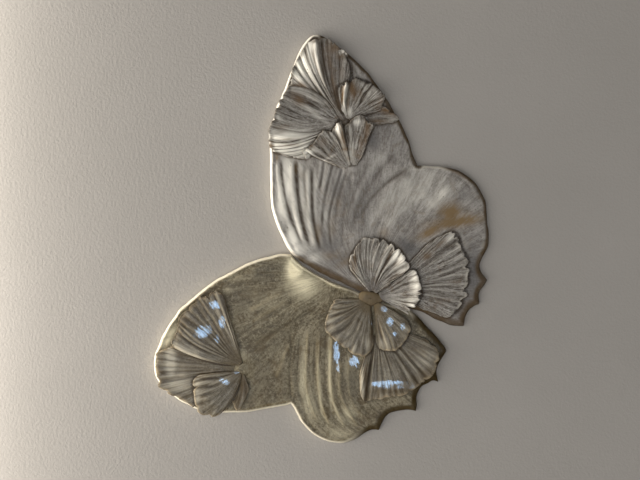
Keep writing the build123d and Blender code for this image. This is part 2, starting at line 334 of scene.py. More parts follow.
WHITE_FURROWS = [
    ([(281, 158), (282.5, 180), (287, 204), (295, 228), (305, 250)], "flute", 3.0, 1.3),
    ([(296, 158), (297, 180), (299.5, 204), (304, 228), (311, 250)], "flute", 3.4, 2.0),
    ([(305, 164), (304.5, 184), (307, 204), (311, 222)], "groove", 1.4, 0.45),
    ([(312, 166), (312, 190), (313, 214), (316, 232), (321, 252)], "flute", 2.6, 1.5),
    ([(324, 160), (322, 176), (319, 192)], "flute", 2.0, 0.7),
    ([(334, 160), (327, 188), (323, 210), (322, 234)], "flute", 2.0, 0.8),
    ([(343, 166), (335, 192), (329.5, 214), (329.5, 232), (332, 250)], "flute", 1.8, 0.65),
    ([(347, 170), (341, 190), (336.5, 210), (335, 234)], "groove", 1.6, 0.5),
    ([(351, 168), (349, 196), (343, 216), (342, 250)], "groove", 2.0, 0.4),
    ([(412, 163), (403, 172), (388, 182), (372, 198), (356, 222)], "groove", 3.0, 0.7),
    ([(400, 150), (385, 165), (370, 185), (357, 210), (350, 236)], "groove", 3.5, 0.5),
    ([(388, 150), (374, 166), (362, 186), (350, 214)], "ridge", 4.0, 0.5),
    ([(370, 160), (360, 180), (350, 205), (345, 232)], "groove", 3.0, 0.45),
    ([(425, 222), (440, 214), (458, 210), (476, 211)], "groove", 4.5, 0.4),
    ([(412, 176), (396, 190), (380, 208), (368, 228)], "ridge", 6.0, 0.5),
    ([(430, 190), (414, 200), (398, 214), (384, 230)], "ridge", 6.0, 0.4),
    # The last two grooves, at the tip fans' stems and along the top fan's right rim, are dents with painted
    # shadow.
    ([(341, 121), (346, 119.5), (351, 121)], "groove", 2.2, 1.2),
    ([(343, 49), (348.5, 57), (351.5, 66), (352.5, 76), (351, 83)], "groove", 1.5, 1.3),
]
WHITE_STAINS = [
    (450, 213, 10, 9, 0, 1.5), (455, 222, 25, 5.5, 8, 1.5), (431, 231, 14, 4.5, 28, 1.4),
    (466, 219, 11, 6, 0, 1.0), (318, 232, 4, 10, 0, 0.5), (346, 262, 10, 4, 25, 0.5),
    (383, 233, 5, 5, 0, 0.5), (330, 256, 7, 4, 0, 0.5), (332, 228, 4, 10, 0, 0.35),
    (303, 175, 3, 5, 0, 0.35), (338, 203, 4, 7, 0, 0.35), (296, 168, 2.5, 8, 0, 0.4),
    (277, 158, 2.5, 3, 0, 0.6), (305, 204, 2, 22, 0, 0.2),
]
# Paler spots: partly pale glaze, partly painted light on the left flutes where they catch the light.
WHITE_PALE = [
    (412, 190, 34, 15, 38, 0.35), (440, 196, 12, 5, 45, 0.9), (432, 204, 7, 5, 30, 0.5),
    (297, 250, 9, 7, 0, 1.0), (300, 205, 8, 36, -8, 0.6), (430, 180, 22, 10, 0, 0.22),
    (415, 170, 16, 3, 0, 0.3), (284, 190, 7, 36, -8, 1.4), (293, 236, 7, 14, -20, 1.4),
    (308, 244, 6, 8, 0, 0.6), (314, 258, 9, 5, 25, 0.6),
]
# Darker spots: partly duller glaze, partly painted shadow beside the fans' rims on their right.
WHITE_DIM_AND_SHADE = [
    (373, 140, 7, 11, 20, 0.75), (336, 190, 12, 26, 0, 0.5), (330, 246, 14, 10, 0, 0.6),
    (465, 196, 14, 10, 0, 0.3), (345, 258, 18, 9, 25, 0.6), (408, 246, 12, 8, -40, 0.8),
    (474, 272, 8, 34, 0, 0.8), (395, 140, 10, 18, 0, 0.25), (468, 304, 9, 14, 30, 0.6),
    (322, 244, 12, 14, 0, 0.5), (362, 205, 18, 34, -30, 0.35), (383, 124, 8, 6, 0, 0.4),
]
OLIVE_FURROWS = [
    ([(290, 330), (291, 352), (289.5, 374), (291, 402)], "groove", 1.6, 0.9),
    ([(300, 334), (298.5, 358), (297, 378), (302, 404), (310, 424)], "groove", 1.8, 0.5),
    ([(308, 328), (306.5, 356), (306, 380), (311, 404), (319, 426)], "ridge", 1.6, 0.6),
    ([(315.5, 332), (314, 360), (313.5, 384), (318, 406), (327, 428)], "groove", 1.5, 0.5),
    ([(319.5, 336), (318, 362), (318.5, 386), (323, 408), (332, 430)], "ridge", 1.5, 0.6),
    ([(326, 328), (324.5, 358), (325.5, 386), (330, 408), (338, 430)], "groove", 1.6, 0.6),
    ([(332, 328), (331, 354), (330, 380), (334, 404), (346, 430)], "ridge", 1.6, 0.8),
    ([(337.5, 342), (334.5, 366), (335, 388), (341, 410), (353, 428)], "groove", 1.7, 0.6),
    ([(341, 358), (338.5, 382), (344, 404), (359, 428)], "ridge", 1.5, 0.5),
    ([(344, 362), (342, 384), (348, 406), (361, 424)], "groove", 1.6, 0.5),
    ([(350, 350), (348, 378), (353, 404), (370, 422)], "ridge", 1.6, 0.4),
    ([(357, 362), (355.5, 384), (362, 406), (376, 420)], "groove", 1.8, 0.45),
    ([(250, 354), (266, 338), (290, 322), (322, 306)], "groove", 2.2, 0.7),
    ([(262, 352), (276, 340), (296, 327), (318, 316)], "groove", 2.6, 0.4),
    ([(246, 330), (262, 318), (280, 308), (300, 298)], "groove", 3, 0.4),
    ([(250, 310), (268, 300), (285, 290)], "ridge", 3, 0.35),
    ([(252, 322), (270, 311), (292, 300)], "ridge", 3, 0.35),
    ([(268, 372), (276, 350), (288, 336)], "groove", 3, 0.45),
    ([(276, 378), (284, 356), (290, 340)], "ridge", 2.5, 0.4),
]
# The bead along the olive wing's upper edge, beside the white wing
OLIVE_BEAD = [(293, 258.5), (305, 268.5), (320, 277), (335, 285), (348, 288.5), (362, 291)]
OLIVE_STAINS = [
    (258, 292, 16, 8, 20, 0.5), (266, 338, 20, 3, 30, 0.7), (255, 350, 8, 5, 0, 0.5),
    (262, 375, 12, 20, 0, 0.35), (281, 385, 5, 22, 0, 0.4), (318, 345, 7, 14, 0, 0.3),
    (378, 415, 16, 8, 10, 0.5), (430, 352, 8, 18, 0, 0.5), (226, 300, 5, 12, 0, 0.4),
    (250, 400, 30, 5, 0, 0.3),
]
OLIVE_PALE = [
    (296, 266, 8, 15, -10, 2.2), (304, 284, 13, 11, 0, 1.3), (268, 300, 20, 6, -22, 0.2),
    (246, 366, 8, 5, 0, 0.15), (303, 378, 3.5, 26, 0, 0.5), (309, 400, 6, 14, 15, 0.45),
    (346, 414, 9, 7, 30, 0.4), (319.5, 385, 1.5, 26, 4, 0.6), (330, 378, 1.6, 34, 2, 0.6),
    (335, 406, 1.6, 20, 22, 0.4), (169, 336, 5, 14, -32, 0.8), (240, 355, 6, 5, 0, 0.5),
    (228, 290, 4, 3, 0, 0.3), (340, 432, 14, 5, 0, 0.3), (287, 287, 3, 6, 0, 0.4),
]
OLIVE_DIM = [
    (262, 272, 16, 8, 15, 0.4), (240, 300, 14, 18, 0, 0.3), (247, 398, 6, 12, 0, 0.4),
    (352, 380, 10, 24, 0, 0.5),
]
OLIVE_WET = [(336, 352, 4.5, 16, 0, 1.2), (338, 367, 3.5, 7, 0, 1), (354, 361, 8, 8, 0, 1.1)]

# Where each slab's brush strokes start from, in pixels, and how many pixels a radian of them counts for
WHITE_BRUSH = (362, 292)
OLIVE_BRUSH = (345, 272)
BRUSH_SPREAD = 80


def full_rows(rim):
    """Return a leaf's rim rows, with a curl of 0 for those that give none."""
    return [(*row, 0)[:4] for row in rim]


def leaf_outline(apex, stem, rim, bow=(0, 0), **_):
    """Return the closed outline of a leaf, in pixels."""
    rows = smooth(full_rows(rim), 2)[:, :2]
    v = np.linspace(0.2, 1, 12)[:, None]
    sides = []
    for end, bend in ((rows[0], bow[0]), (rows[-1], bow[-1])):
        way = (end - apex) / np.hypot(*(end - apex))
        out = stem + (np.hypot(*(end - apex)) - stem) * v
        sides.append(apex + way * out + np.array([-way[1], way[0]]) * bend * 4 * v * (1 - v))
    return np.vstack([sides[0], rows[1:-1], sides[1][::-1]])


def painted_outline_shade(px, py, names, width=1.5):
    """Return how much shade is painted along the outlines of the leaves that lie on a place."""
    dark = np.zeros(px.shape)
    for name in names:
        loop = leaf_outline(**FANS[name])
        low, high = loop.min(axis=0) - 6, loop.max(axis=0) + 6
        near = (px > low[0]) & (px < high[0]) & (py > low[1]) & (py < high[1])
        if near.any():
            gap = nearest_edge(np.column_stack([px[near], py[near]]), loop)[0]
            dark[near] = np.maximum(dark[near], np.exp(-((gap / width) ** 2)))
    return dark * np.clip(0.85 + 0.45 * wobble(px, py, 9, 61), 0, 1)


def marks_of(px, py, edge, dark, light, facing, shade_ways, shade_share, shade_width, tables):
    """Return a slab front's marks: grooves, crests, spots, and the edge's painted light and shade, cream or
    brown.

    The edge is painted brown as shade where it faces one of the ways away from the light, each with the
    range over which it turns from the cream of painted light, times the share. There it is wider by the
    width in mm.
    """
    stain, pale, dim_and_shade = tables
    uneven = 0.08 * wobble(px, py, 12, 41)
    shade_sides = [ease(low, high, facing @ np.array(way) + uneven) for way, low, high in shade_ways]
    brown_shade = np.max(shade_sides, axis=0) * shade_share
    width = 3.2 + shade_width * brown_shade + 1.2 * wobble(px, py, 14, 42) * brown_shade
    return {
        "groove": dark, "crest": light, "stain": spots(px, py, stain), "pale": spots(px, py, pale),
        "dim_and_shade": spots(px, py, dim_and_shade), "edge": 1 - ease(0.5 * width, width, edge), "brown_shade": brown_shade,
    }


def white_surface(px, py, edge, facing):
    """Return the white wing's front height in mm and its marks."""
    rise, dark, light = furrows(px, py, WHITE_FURROWS)
    rise += 0.5 * wobble(px, py, 26, 21) + 0.12 * wobble(px, py, 7, 22)
    rise += 1.6 * spots(px, py, [(297, 250, 9, 7, 0, 1)]) + 0.8 * spots(px, py, [(440, 196, 20, 9, 45, 1)])
    rise += 3.3 * spots(px, py, [(343, 119, 8, 6, 0, 1), (352, 167, 8, 9, 0, 0.65)])
    inner = ease(2.5, 6, edge)
    # The slab dips a little along the fans' outlines, and shade is painted there.
    seam_and_shade = painted_outline_shade(px, py, WHITE_FANS, 1.6)
    height = rounded(edge, px, py, facing, (0.8, 0.6)) + rise * inner - 0.6 * seam_and_shade
    # Edges facing right and down are painted brown as shade, the others cream as light.
    shade_ways = [((0.6, 0.8), -0.1, 0.3), ((1, 0), 0.0, 0.35)]
    shade_width = 2.0 + 4 * ease(240, 275, py)
    marks = marks_of(px, py, edge, dark * inner, light * inner, facing, shade_ways, 1, shade_width,
                     (WHITE_STAINS, WHITE_PALE, WHITE_DIM_AND_SHADE))
    # The brush strokes fan out from the hub.
    from_x, from_y = px - WHITE_BRUSH[0], py - WHITE_BRUSH[1]
    angle = np.arctan2(from_y, from_x)
    far = np.hypot(from_x, from_y)
    marks["along"] = np.column_stack([angle * BRUSH_SPREAD, far, 0 * far])
    # Painted shade along the fans' outlines joins the dark grooves.
    marks["groove"] = np.maximum(marks["groove"], np.clip(2.4 * seam_and_shade, 0, 1))
    marks["wet"] = 0 * far
    return height, marks


def olive_surface(px, py, edge, facing):
    """Return the olive wing's front height in mm and its marks."""
    rise, dark, light = furrows(px, py, OLIVE_FURROWS)
    rise += 0.45 * wobble(px, py, 30, 31) + 0.08 * wobble(px, py, 7, 32)
    rise += 4.6 * spots(px, py, [(243, 368, 12, 9, 0, 1)]) + 1.2 * spots(px, py, [(300, 272, 8, 12, 0, 1)])
    inner = ease(2.5, 6, edge)
    gap, along = line_field(px, py, OLIVE_BEAD)
    bead = np.exp(-((gap / 1.5) ** 2)) * (1 - ease(0.75, 1, along)) * ease(0.3, 1.5, edge)
    height = rounded(edge, px, py, facing, (0.95, 0.3)) + rise * inner + 2.0 * bead
    # Edges facing right and down are painted brown as shade, the others cream as light.
    shade_ways = [((0.6, 0.8), -0.1, 0.3), ((1, 0.1), 0.25, 0.6)]
    marks = marks_of(px, py, edge, dark * inner, light * inner, facing, shade_ways, ease(338, 368, px), 5.5,
                     (OLIVE_STAINS, OLIVE_PALE, OLIVE_DIM))
    # The bead is painted pale: partly paler glaze, partly painted highlight.
    marks["pale"] = np.maximum(marks["pale"], np.clip(1.3 * bead, 0, 1))
    marks["edge"] = marks["edge"] * (1 - np.clip(1.6 * bead, 0, 1))
    from_x, from_y = px - OLIVE_BRUSH[0], py - OLIVE_BRUSH[1]
    angle = np.arctan2(from_y, from_x)
    far = np.hypot(from_x, from_y)
    # The lower lobe's streaks follow its flutes, which bend to the right.
    lobe = ease(282, 302, px) * ease(296, 346, py)
    bent = px - (px - 285) * 0.43 * (np.maximum(0, py - 345) / 75) ** 2
    across = angle * BRUSH_SPREAD * (1 - lobe) + (465 - bent) * lobe
    marks["along"] = np.column_stack([across, far * (1 - lobe) + (py - 256) * lobe, 0 * far])
    # Shade is painted along the olive fans' outlines.
    seam_and_shade = painted_outline_shade(px, py, [name for name in FANS if name not in WHITE_FANS])
    marks["groove"] = np.maximum(marks["groove"], 0.6 * seam_and_shade)
    marks["wet"] = spots(px, py, OLIVE_WET)
    return height, marks


WHITE_OUTLINE = [
    [(291, 253), (287, 247), (283, 239), (279, 230), (275, 220), (272, 210), (271, 200), (270.5, 190),
     (270, 170), (270, 150), (269.5, 140), (270, 127), (275, 115), (277, 106), (281, 98), (285, 88),
     (288, 80), (291, 72), (295, 62), (299, 52), (304, 44), (309, 38), (313, 35)],
    [(313, 35), (319, 35.3), (325, 37.5), (332, 43), (340, 48), (347, 53), (355, 60), (362, 67),
     (368, 73), (374, 81), (379, 88), (384, 95), (389, 103), (394, 112), (400, 122), (405, 132),
     (409, 142), (412, 152), (415, 160), (417, 165.5)],
    [(417, 165.5), (430, 166), (440, 166.5), (450, 168), (457, 170), (463, 173), (470, 178), (476, 184),
     (481, 192), (485, 200), (486.5, 208), (487, 222), (488.5, 230), (489, 238), (488, 246), (485, 253),
     (482, 258), (480, 263), (480, 268), (482, 273), (485, 277), (487, 280)],
    [(487, 280), (485, 284), (481, 289), (479, 294), (479, 300), (479, 304)],
    [(479, 304), (475, 305.5), (470, 309), (467, 313), (465, 318), (464, 326)],
    [(464, 326), (458, 326), (450, 325), (443, 322), (435, 319), (428, 315), (421, 311.5), (414, 309.5),
     (405, 307.4), (392, 303.8), (378, 299), (365, 294.4), (352, 287.5), (340, 282), (330, 277.5),
     (320, 272.6), (310, 266.6), (300, 260.5), (294, 256.5), (291, 253)],
]
OLIVE_OUTLINE = [
    [(290.5, 254.5), (280, 254), (270, 256.5), (260, 259), (250, 262.5), (240, 267), (233, 271), (225, 275),
     (217, 279), (209, 285), (201, 291), (194, 297), (187, 303), (180, 309), (175, 316), (170, 323),
     (165, 331), (161, 339), (158, 347), (155, 355), (154, 362), (154.5, 370), (156, 376), (159, 382),
     (163, 387), (168, 391), (174, 396), (181, 401), (189, 405), (198, 409.5), (212, 412.5), (230, 412.3),
     (240, 412.5), (250, 411.5), (260, 410), (270, 408), (280, 406.5), (287, 405), (290.5, 403.5)],
    [(290.5, 403.5), (294, 408), (297, 414), (300, 420), (305, 426), (311, 432), (318, 437), (326, 440.5),
     (335, 442.5), (343, 443), (350, 441), (357, 438), (363, 434), (368, 431), (373, 429.5), (379, 430)],
    [(379, 430), (381, 425), (385, 417), (390, 413), (396, 411), (403, 410), (410, 409.8), (416, 411)],
    [(416, 411), (417, 404), (416.5, 398), (418, 392), (422, 386), (428, 383), (433, 380.5), (438, 382)],
    [(438, 382), (437, 376), (436.5, 371), (438, 365), (442, 358), (446.5, 351)],
    [(446.5, 351), (445, 347), (440, 341), (434, 334), (428, 328), (422, 321), (417, 315.5), (412, 311.5),
     (405, 308.2), (392, 305), (378, 300), (365, 295.6), (352, 289.4), (345, 287), (335, 283), (326, 278.8),
     (318, 274.8), (310, 270.2), (303, 265.6), (297, 260.6), (293, 257), (290.5, 254.5)],
]

# Profiles give the share of a rim's height at even steps from the stem to the rim.
CURL_UP = (0.06, 0.16, 0.3, 0.48, 0.72, 1.0)
RISE = (0.08, 0.24, 0.42, 0.62, 0.82, 1.0)
DOME = (0.15, 0.5, 0.8, 0.98, 1.0, 0.84)
DROOP = (0.15, 0.4, 0.64, 0.86, 1.0, 0.55)
FLAT = (0.25, 0.6, 0.8, 0.92, 1.0, 1.0)

# The fans are leaves of clay, read off the photograph in pixels, with heights in mm:
# over lists the leaves that lie on this one, whose outlines get painted shade on it; apex and stem are
# where it starts; lift is its height there.
# ribs and depth are the number of its pleats and how high they are; ragged is how torn its rim is; fine is
# the strength of its fine lines; root darkens its stem.
# rim rows are x, y, the height above the slab, and for some how far the last part curls up or down.
# grooves rows are a rim place and a depth. folds rows are a rim place, a width, a height, and a start.
# bow bends the pleats sideways; stains, pale, dim and wet are spots for the glaze; some pale spots are
# painted light and some dim ones painted shade.
# The leaves at the tip have a darker rim and stronger fine lines.
TIP_EDGE = {"worn_rim": 0.3, "dark_rim": 0.8, "fine": 0.24}

FANS = {
    "tip_fan_under": {
        **TIP_EDGE, "over": ["tip_fan_right"], "apex": (350, 120), "stem": 5, "lift": 2.2, "profile": FLAT,
        "ribs": 9, "depth": 0.7, "seed": 1, "ragged": 1.5,
        "rim": [(380, 106, 4.5), (386, 108, 4.5), (391, 112, 4.2), (396, 115, 3.8), (398, 119, 3.4),
            (394, 122, 3.2), (385, 123.5, 3), (375, 125, 3)],
        "grooves": [(378, 106, 0.5), (390, 111, 0.7), (397, 117, 0.4)],
        "stains": [(388, 111, 9, 4, -20, 1.2), (378, 121, 10, 2, 0, 0.8)],
        "pale": [(392, 119, 6, 2, 0, 0.6)],
    },
    "tip_fan_left": {
        **TIP_EDGE, "over": ["tip_fan_front"], "apex": (341, 122), "stem": 3, "lift": 4.0, "profile": RISE,
        "ribs": 26, "depth": 0.6, "seed": 2, "bow": (9.5, -2, -5, -7, -9, -9, -7, -4),
        "rim": [(289.5, 86, 7.5), (284, 94, 8), (278, 105, 8.5, 1.5), (274, 116, 8.5, 2),
            (270.5, 125, 9, 1), (268.5, 131, 10, -1), (270, 136, 10, -2.5), (269, 141, 9.5, -3),
            (270.5, 148, 8.5, -3), (274, 152, 7, -2.5), (283, 155, 5, -1), (293, 157, 3.6),
            (306, 159, 3.4)],
        "grooves": [(287, 90, 0.5), (277, 107, 0.4), (272, 122, 0.6), (270, 129, 0.8), (270, 136, 1.2),
            (270, 142, 1.2), (271.5, 149, 1.0), (277, 154, 0.9), (291, 156.5, 0.5)],
        "folds": [(270, 134, 2.5, 1.2, 0.3), (269.5, 139, 2.2, -1.6, 0.35), (270, 143, 2, 1.3, 0.3),
            (271.5, 149, 2, -1.2, 0.3), (276, 153, 2.5, 1.4, 0.25), (285, 155, 3, -0.8, 0.2),
            (294, 157, 3, 0.9, 0.2), (288, 88, 5, 1.2, 0.1), (284, 94, 5, -0.9, 0.2)],
        "stains": [(299, 100, 7, 5, -35, 0.95), (282, 127, 9, 2.5, 8, 0.5), (280, 132, 8, 2.5, 8, 0.5),
            (276, 93, 8, 3, 0, 0.3), (288, 139, 10, 1.2, 6, 0.6), (290, 145, 10, 1.2, 3, 0.6),
            (271, 145, 2.5, 4, 0, 1.0)],
        # The lower lobe's pale ridges are partly painted light.
        "pale": [(283, 146, 24, 13, 4, 2.4), (284, 139, 18, 2.2, 4, 1.0), (285, 144, 18, 2.0, 4, 1.0),
            (287, 149, 17, 1.8, 3, 1.0), (290, 154, 16, 1.8, 4, 0.9), (279, 134, 10, 2, 10, 0.8),
            (276, 112, 3, 14, 25, 0.5), (310, 110, 22, 2, -38, 0.5)],
    },
    "tip_fan_top": {
        **TIP_EDGE, "over": ["tip_fan_left", "tip_fan_right"], "apex": (345, 121), "stem": 2, "lift": 2.6,
        "profile": RISE, "ribs": 24, "depth": 1.15, "seed": 3, "bow": (0, -2, -5, -6, -5, -3, 0),
        "rim": [(287.5, 88, 3), (290.5, 83, 3.6), (291.5, 77, 4.5), (292.5, 70, 6), (297, 60, 9, -1),
            (303, 50, 13, -2), (308, 43, 16, -2), (314, 39, 18.5, -1), (318, 39.5, 17.5), (326, 38.5, 12.5),
            (333, 42, 10.5), (341, 50, 10, 1), (346, 57, 10.5, 2), (349, 65, 9.5, 0.5), (350, 73, 8),
            (349, 80, 6.5)],
        "grooves": [(289, 84, 0.6), (292, 75, 0.9), (295, 66, 1.1), (300, 56, 1.2), (305, 47, 1.2),
            (311, 41, 0.7), (320, 39, 0.7), (325, 38.5, 0.5), (331, 41, 0.6), (336, 45, 0.5),
            (342, 51, 0.6), (348, 61, 0.8), (350, 70, 0.5), (349, 78, 0.8)],
        "folds": [(305, 48, 4, 1.4, 0.3), (314, 39, 3.5, 1.8, 0.35), (322, 39, 4, -1.6, 0.3),
            (292, 70, 4, 1.2, 0.3), (341, 50, 3, -1.2, 0.5)],
        "stains": [(334, 47, 11, 7, 30, 0.9), (329, 62, 4, 10, 10, 0.7), (333, 82, 3, 12, 5, 0.7),
            (300, 85, 7, 3, -10, 0.8), (340, 56, 5, 4, 20, 0.7), (322, 72, 3, 12, 10, 0.45),
            (342, 74, 3, 8, 0, 0.4), (338, 104, 5, 8, 0, 0.4)],
        # The left side, facing the light, is painted paler and the right darker, partly as painted light
        # and shade.
        "pale": [(299, 62, 13, 20, 20, 1.3), (312, 44, 5, 9, 0, 1.0), (318, 64, 2, 16, 15, 0.9),
            (298, 78, 10, 8, 0, 0.9), (344, 52, 3, 2, 0, 0.8)],
        "dim_and_shade": [(330, 80, 12, 26, 8, 0.45), (334, 60, 12, 14, 0, 0.35)],
    },
    "tip_fan_right": {
        **TIP_EDGE, "over": ["tip_fan_front"], "apex": (348, 120), "stem": 2, "lift": 3.2, "profile": RISE,
        "ribs": 22, "depth": 0.8, "seed": 4, "ragged": 0.9, "bow": (-3, -3, -1, 0, 0, 0),
        "rim": [(336, 91, 4.5), (337.5, 87, 5.5), (341, 85, 8.5), (345.5, 82, 13.5, 1), (347.5, 81, 14, 1),
            (350, 83, 10.5), (355, 79, 9.5), (362, 81, 9.5), (370, 84, 9.5, 0.5), (378, 88, 9.5, 1),
            (383, 92, 9.5, 1), (384.5, 97, 8.5, 1), (382.5, 103, 7.5), (380, 110, 5.5)],
        "grooves": [(339, 86, 1.0), (343, 84, 0.8), (350, 83, 1.2), (355, 79, 0.5), (360, 80, 0.7),
            (366, 82, 0.7), (372, 85, 1.1), (378, 88, 0.4), (383, 92, 0.6), (384, 100, 0.5),
            (381, 108, 0.7)],
        "folds": [(346.5, 82, 2.2, 1.6, 0.2), (352, 81, 2, -1.5, 0.2), (340.5, 85, 2, -1.0, 0.3),
            (358, 80, 2.5, 0.8, 0.3)],
        "stains": [(353, 90, 3.5, 9, 10, 1.4), (342, 99, 1.5, 14, -8, 1.2), (381, 103, 4, 6, 0, 0.5),
            (348, 104, 1.2, 10, 0, 0.7), (360, 92, 2, 8, 20, 0.5)],
        "pale": [(345.5, 91, 2.4, 12, -6, 1.3), (342.5, 105, 2.8, 9, 0, 1.2), (349, 112, 3, 5, 0, 0.8),
            (378, 96, 5, 5, 0, 0.2), (366, 90, 2, 10, 30, 0.3)],
    },
    "tip_fan_front": {
        **TIP_EDGE, "apex": (352, 172), "stem": 6, "lift": 0.4, "profile": RISE, "ribs": 22, "depth": 0.6,
        "seed": 5, "ragged": 1.0,
        "rim": [(307, 153, 6), (306, 149.5, 7.5, 1), (311, 145, 9.5, 1), (317, 139, 11), (322, 132, 12.5),
            (327, 131, 12), (331, 132.5, 11.5), (334, 128, 13.5), (337.5, 122, 16, 1), (341, 121, 17, 1),
            (345, 126, 11.5, -1.5), (350, 122, 13.5), (355, 118, 15.5), (361, 116, 16.5), (365, 118, 15.5),
            (369, 122, 14.5), (373, 126, 13.5), (371, 131, 12), (368, 138, 10.5), (365, 148, 8.5),
            (362, 156, 6.5)],
        "grooves": [(307, 147, 0.6), (314, 142, 0.6), (320, 135, 0.6), (328, 131, 0.5), (333, 131, 0.7),
            (345, 126, 1.1), (350, 122, 0.7), (358, 117, 0.7), (365, 118, 0.8), (371, 125, 0.6),
            (368, 138, 0.4)],
        "folds": [(343, 124, 3, -3.2, 0.35), (337.5, 122, 3, 1.2, 0.3), (352, 121, 4, 0.8, 0.3),
            (307, 152, 4, 1.0, 0.4), (369, 122, 3, -1.0, 0.4)],
        "stains": [(343, 137, 2.6, 12, 8, 1.0), (345.5, 149, 4, 2.2, 0, 1.0), (367, 128, 3, 12, -8, 0.9),
            (322, 142, 5, 5, 0, 0.5), (312, 146, 4, 3, 0, 0.5), (361, 146, 2, 10, -10, 0.6),
            (331, 152, 1.2, 12, -25, 0.5)],
        "pale": [(337, 127, 3, 7, 0, 1.2), (310, 151, 5, 3, 0, 1.2), (325, 160, 14, 1.2, 28, 0.8),
            (352, 150, 3, 14, 0, 0.4), (357, 122, 4, 3, 0, 0.8)],
    },
    "outer_fan": {
        "over": ["hub_fan_right", "hub_fan_upper"], "apex": (392, 288), "stem": 10, "lift": 2.0,
        "profile": RISE, "ribs": 30, "depth": 0.7, "seed": 6, "ragged": 1.0, "fine": 0.25,
        "rim": [(410, 262.5, 3.5), (424, 248, 5), (432, 241, 6), (440, 236.5, 7), (447, 233.5, 8),
            (452, 232, 8.5), (456, 234, 8.5), (459, 238, 8), (460.5, 244, 8), (463, 250, 8.5),
            (466, 256, 9), (468, 262, 9), (466, 266, 8.5), (470, 270, 9.5), (467.5, 276, 9),
            (468, 281, 9.5), (466, 286, 9), (463, 289, 8.5), (466.5, 295, 9.5), (461.5, 299, 8.5),
            (462, 303, 8.5), (460, 307, 8), (456, 311, 7.5), (452, 315, 7), (447, 317, 6), (441, 316, 5),
            (436, 313.5, 4.5), (430, 311.5, 4), (423, 309.5, 3.5)],
        "grooves": [(417, 256, 0.6), (429, 243, 0.6), (440, 236.5, 0.5), (450, 232.5, 0.5), (459, 238, 0.7),
            (462, 248, 0.5), (467, 259, 0.6), (468, 268, 0.7), (467.5, 278, 0.6), (463, 289, 0.6),
            (463, 297, 0.5), (459, 308, 0.5), (448, 316.5, 0.5), (434, 313, 0.6)],
        "stains": [(427, 256, 5, 3.5, 40, 1.0), (440, 244, 9, 2, 40, 0.6), (456, 282, 5, 2, 0, 0.4),
            (446, 300, 8, 2, 0, 0.3)],
        "pale": [(450, 238, 6, 3, 30, 0.6)],
    },
    "hub_fan_right": {
        "apex": (376, 296), "stem": 4, "lift": 3.8, "profile": CURL_UP, "ribs": 20, "depth": 0.75,
        "seed": 7, "ragged": 1.2, "fine": 0.25, "root": 0.7,
        "rim": [(409, 271, 9), (414, 270, 11, 1), (417, 273, 12, 1.5), (418.5, 279, 12, 2),
            (420, 286, 12, 2), (422, 293, 12, 2), (419.5, 299, 12, 1.5), (417.5, 303, 11.5, 1.5),
            (416, 308, 11, 1), (413, 307, 10, 1), (411, 311, 9.5, 1.5), (408, 314, 8.5, 1), (403, 311, 6.5),
            (398, 308, 5.5)],
        "grooves": [(411, 270.5, 0.5), (417, 274, 0.8), (419, 281, 0.8), (420.5, 288, 0.5), (421, 295, 0.7),
            (418, 302, 0.8), (414, 307.5, 0.6), (410, 312, 0.5), (404, 311.5, 1.0)],
        "stains": [(398, 282, 6, 5, 0, 0.25)],
        # Its right rim, turned to the light, is painted pale as light.
        "pale": [(416, 282, 5, 14, 0, 1.1), (412, 305, 5, 7, 0, 0.8), (396, 300, 9, 6, 0, 0.3)],
    },
    "hub_fan_upper": {
        "over": ["hub_fan_right"], "apex": (372, 294), "stem": 4, "lift": 4.4, "profile": CURL_UP,
        "ribs": 28, "depth": 0.8, "seed": 8, "ragged": 1.1, "fine": 0.25, "root": 0.6,
        "bow": (0, -3, -3.5, -3, -2, 0),
        "rim": [(351, 270, 6), (350, 263, 7.5), (351.5, 256, 9), (354.5, 250, 10), (358, 245, 10.5),
            (362, 240, 11), (366, 239, 11), (372, 240, 10.5), (379, 239, 11), (385, 240.5, 11),
            (388.5, 244, 10.5), (391, 243, 13, 1.5), (395, 247, 13.5, 2), (400, 250.5, 14, 2.5),
            (404, 256, 14, 2), (407, 261, 14, 0.5), (409.5, 266, 13.5, -0.5), (407, 271, 12.5, -1),
            (402, 275, 11.5, -1), (397, 278, 10.5, -1), (391.5, 281.5, 9), (389, 287, 8)],
        "grooves": [(350, 262, 0.8), (354, 251, 0.5), (360, 242.5, 0.7), (367, 239, 0.6), (373, 240, 0.6),
            (379, 239, 0.5), (385, 240.5, 0.8), (389, 244, 1.0), (396, 248, 1.2), (402, 253, 1.2),
            (407, 261, 1.0), (408, 269, 0.6), (400, 276, 0.6)],
        "stains": [(354, 262, 3, 14, 0, 0.8), (358, 250, 3, 5, 0, 0.5), (398, 276, 8, 3, 30, 0.3)],
        # Its upturned right rim is painted pale as light.
        "pale": [(369, 261, 15, 12, 0, 0.2), (401, 256, 13, 9, -45, 1.1), (400, 268, 8, 7, 0, 0.5),
            (386, 285, 4, 5, 0, 0.3)],
    },
    "side_fan_under": {
        "over": ["side_fan_upper", "side_fan_lower"], "apex": (244, 368), "stem": 3, "lift": 2.0,
        "profile": FLAT, "ribs": 20, "depth": 0.7, "seed": 9, "fine": 0.1, "root": 0.5,
        "rim": [(175, 346, 4), (166, 348.5, 4.5), (160, 350.5, 5, 0.5), (156.5, 353.5, 5, 1.5),
            (155.5, 357, 5, 2), (157.5, 360, 5, 2), (156.5, 365, 5, 2), (155.5, 368, 5, 2),
            (157.5, 372, 5, 2), (157, 376, 5, 2), (160, 381, 5, 1.5), (158, 385.5, 5, 1.5),
            (160.5, 388, 4.5, 1), (166, 391, 4), (171, 395, 3.5), (177, 398, 3.2), (185, 401, 3),
            (193, 407, 3)],
        "grooves": [(168, 348, 0.7), (160, 350.5, 0.5), (156, 355, 0.6), (157, 360, 0.5), (156, 367, 0.5),
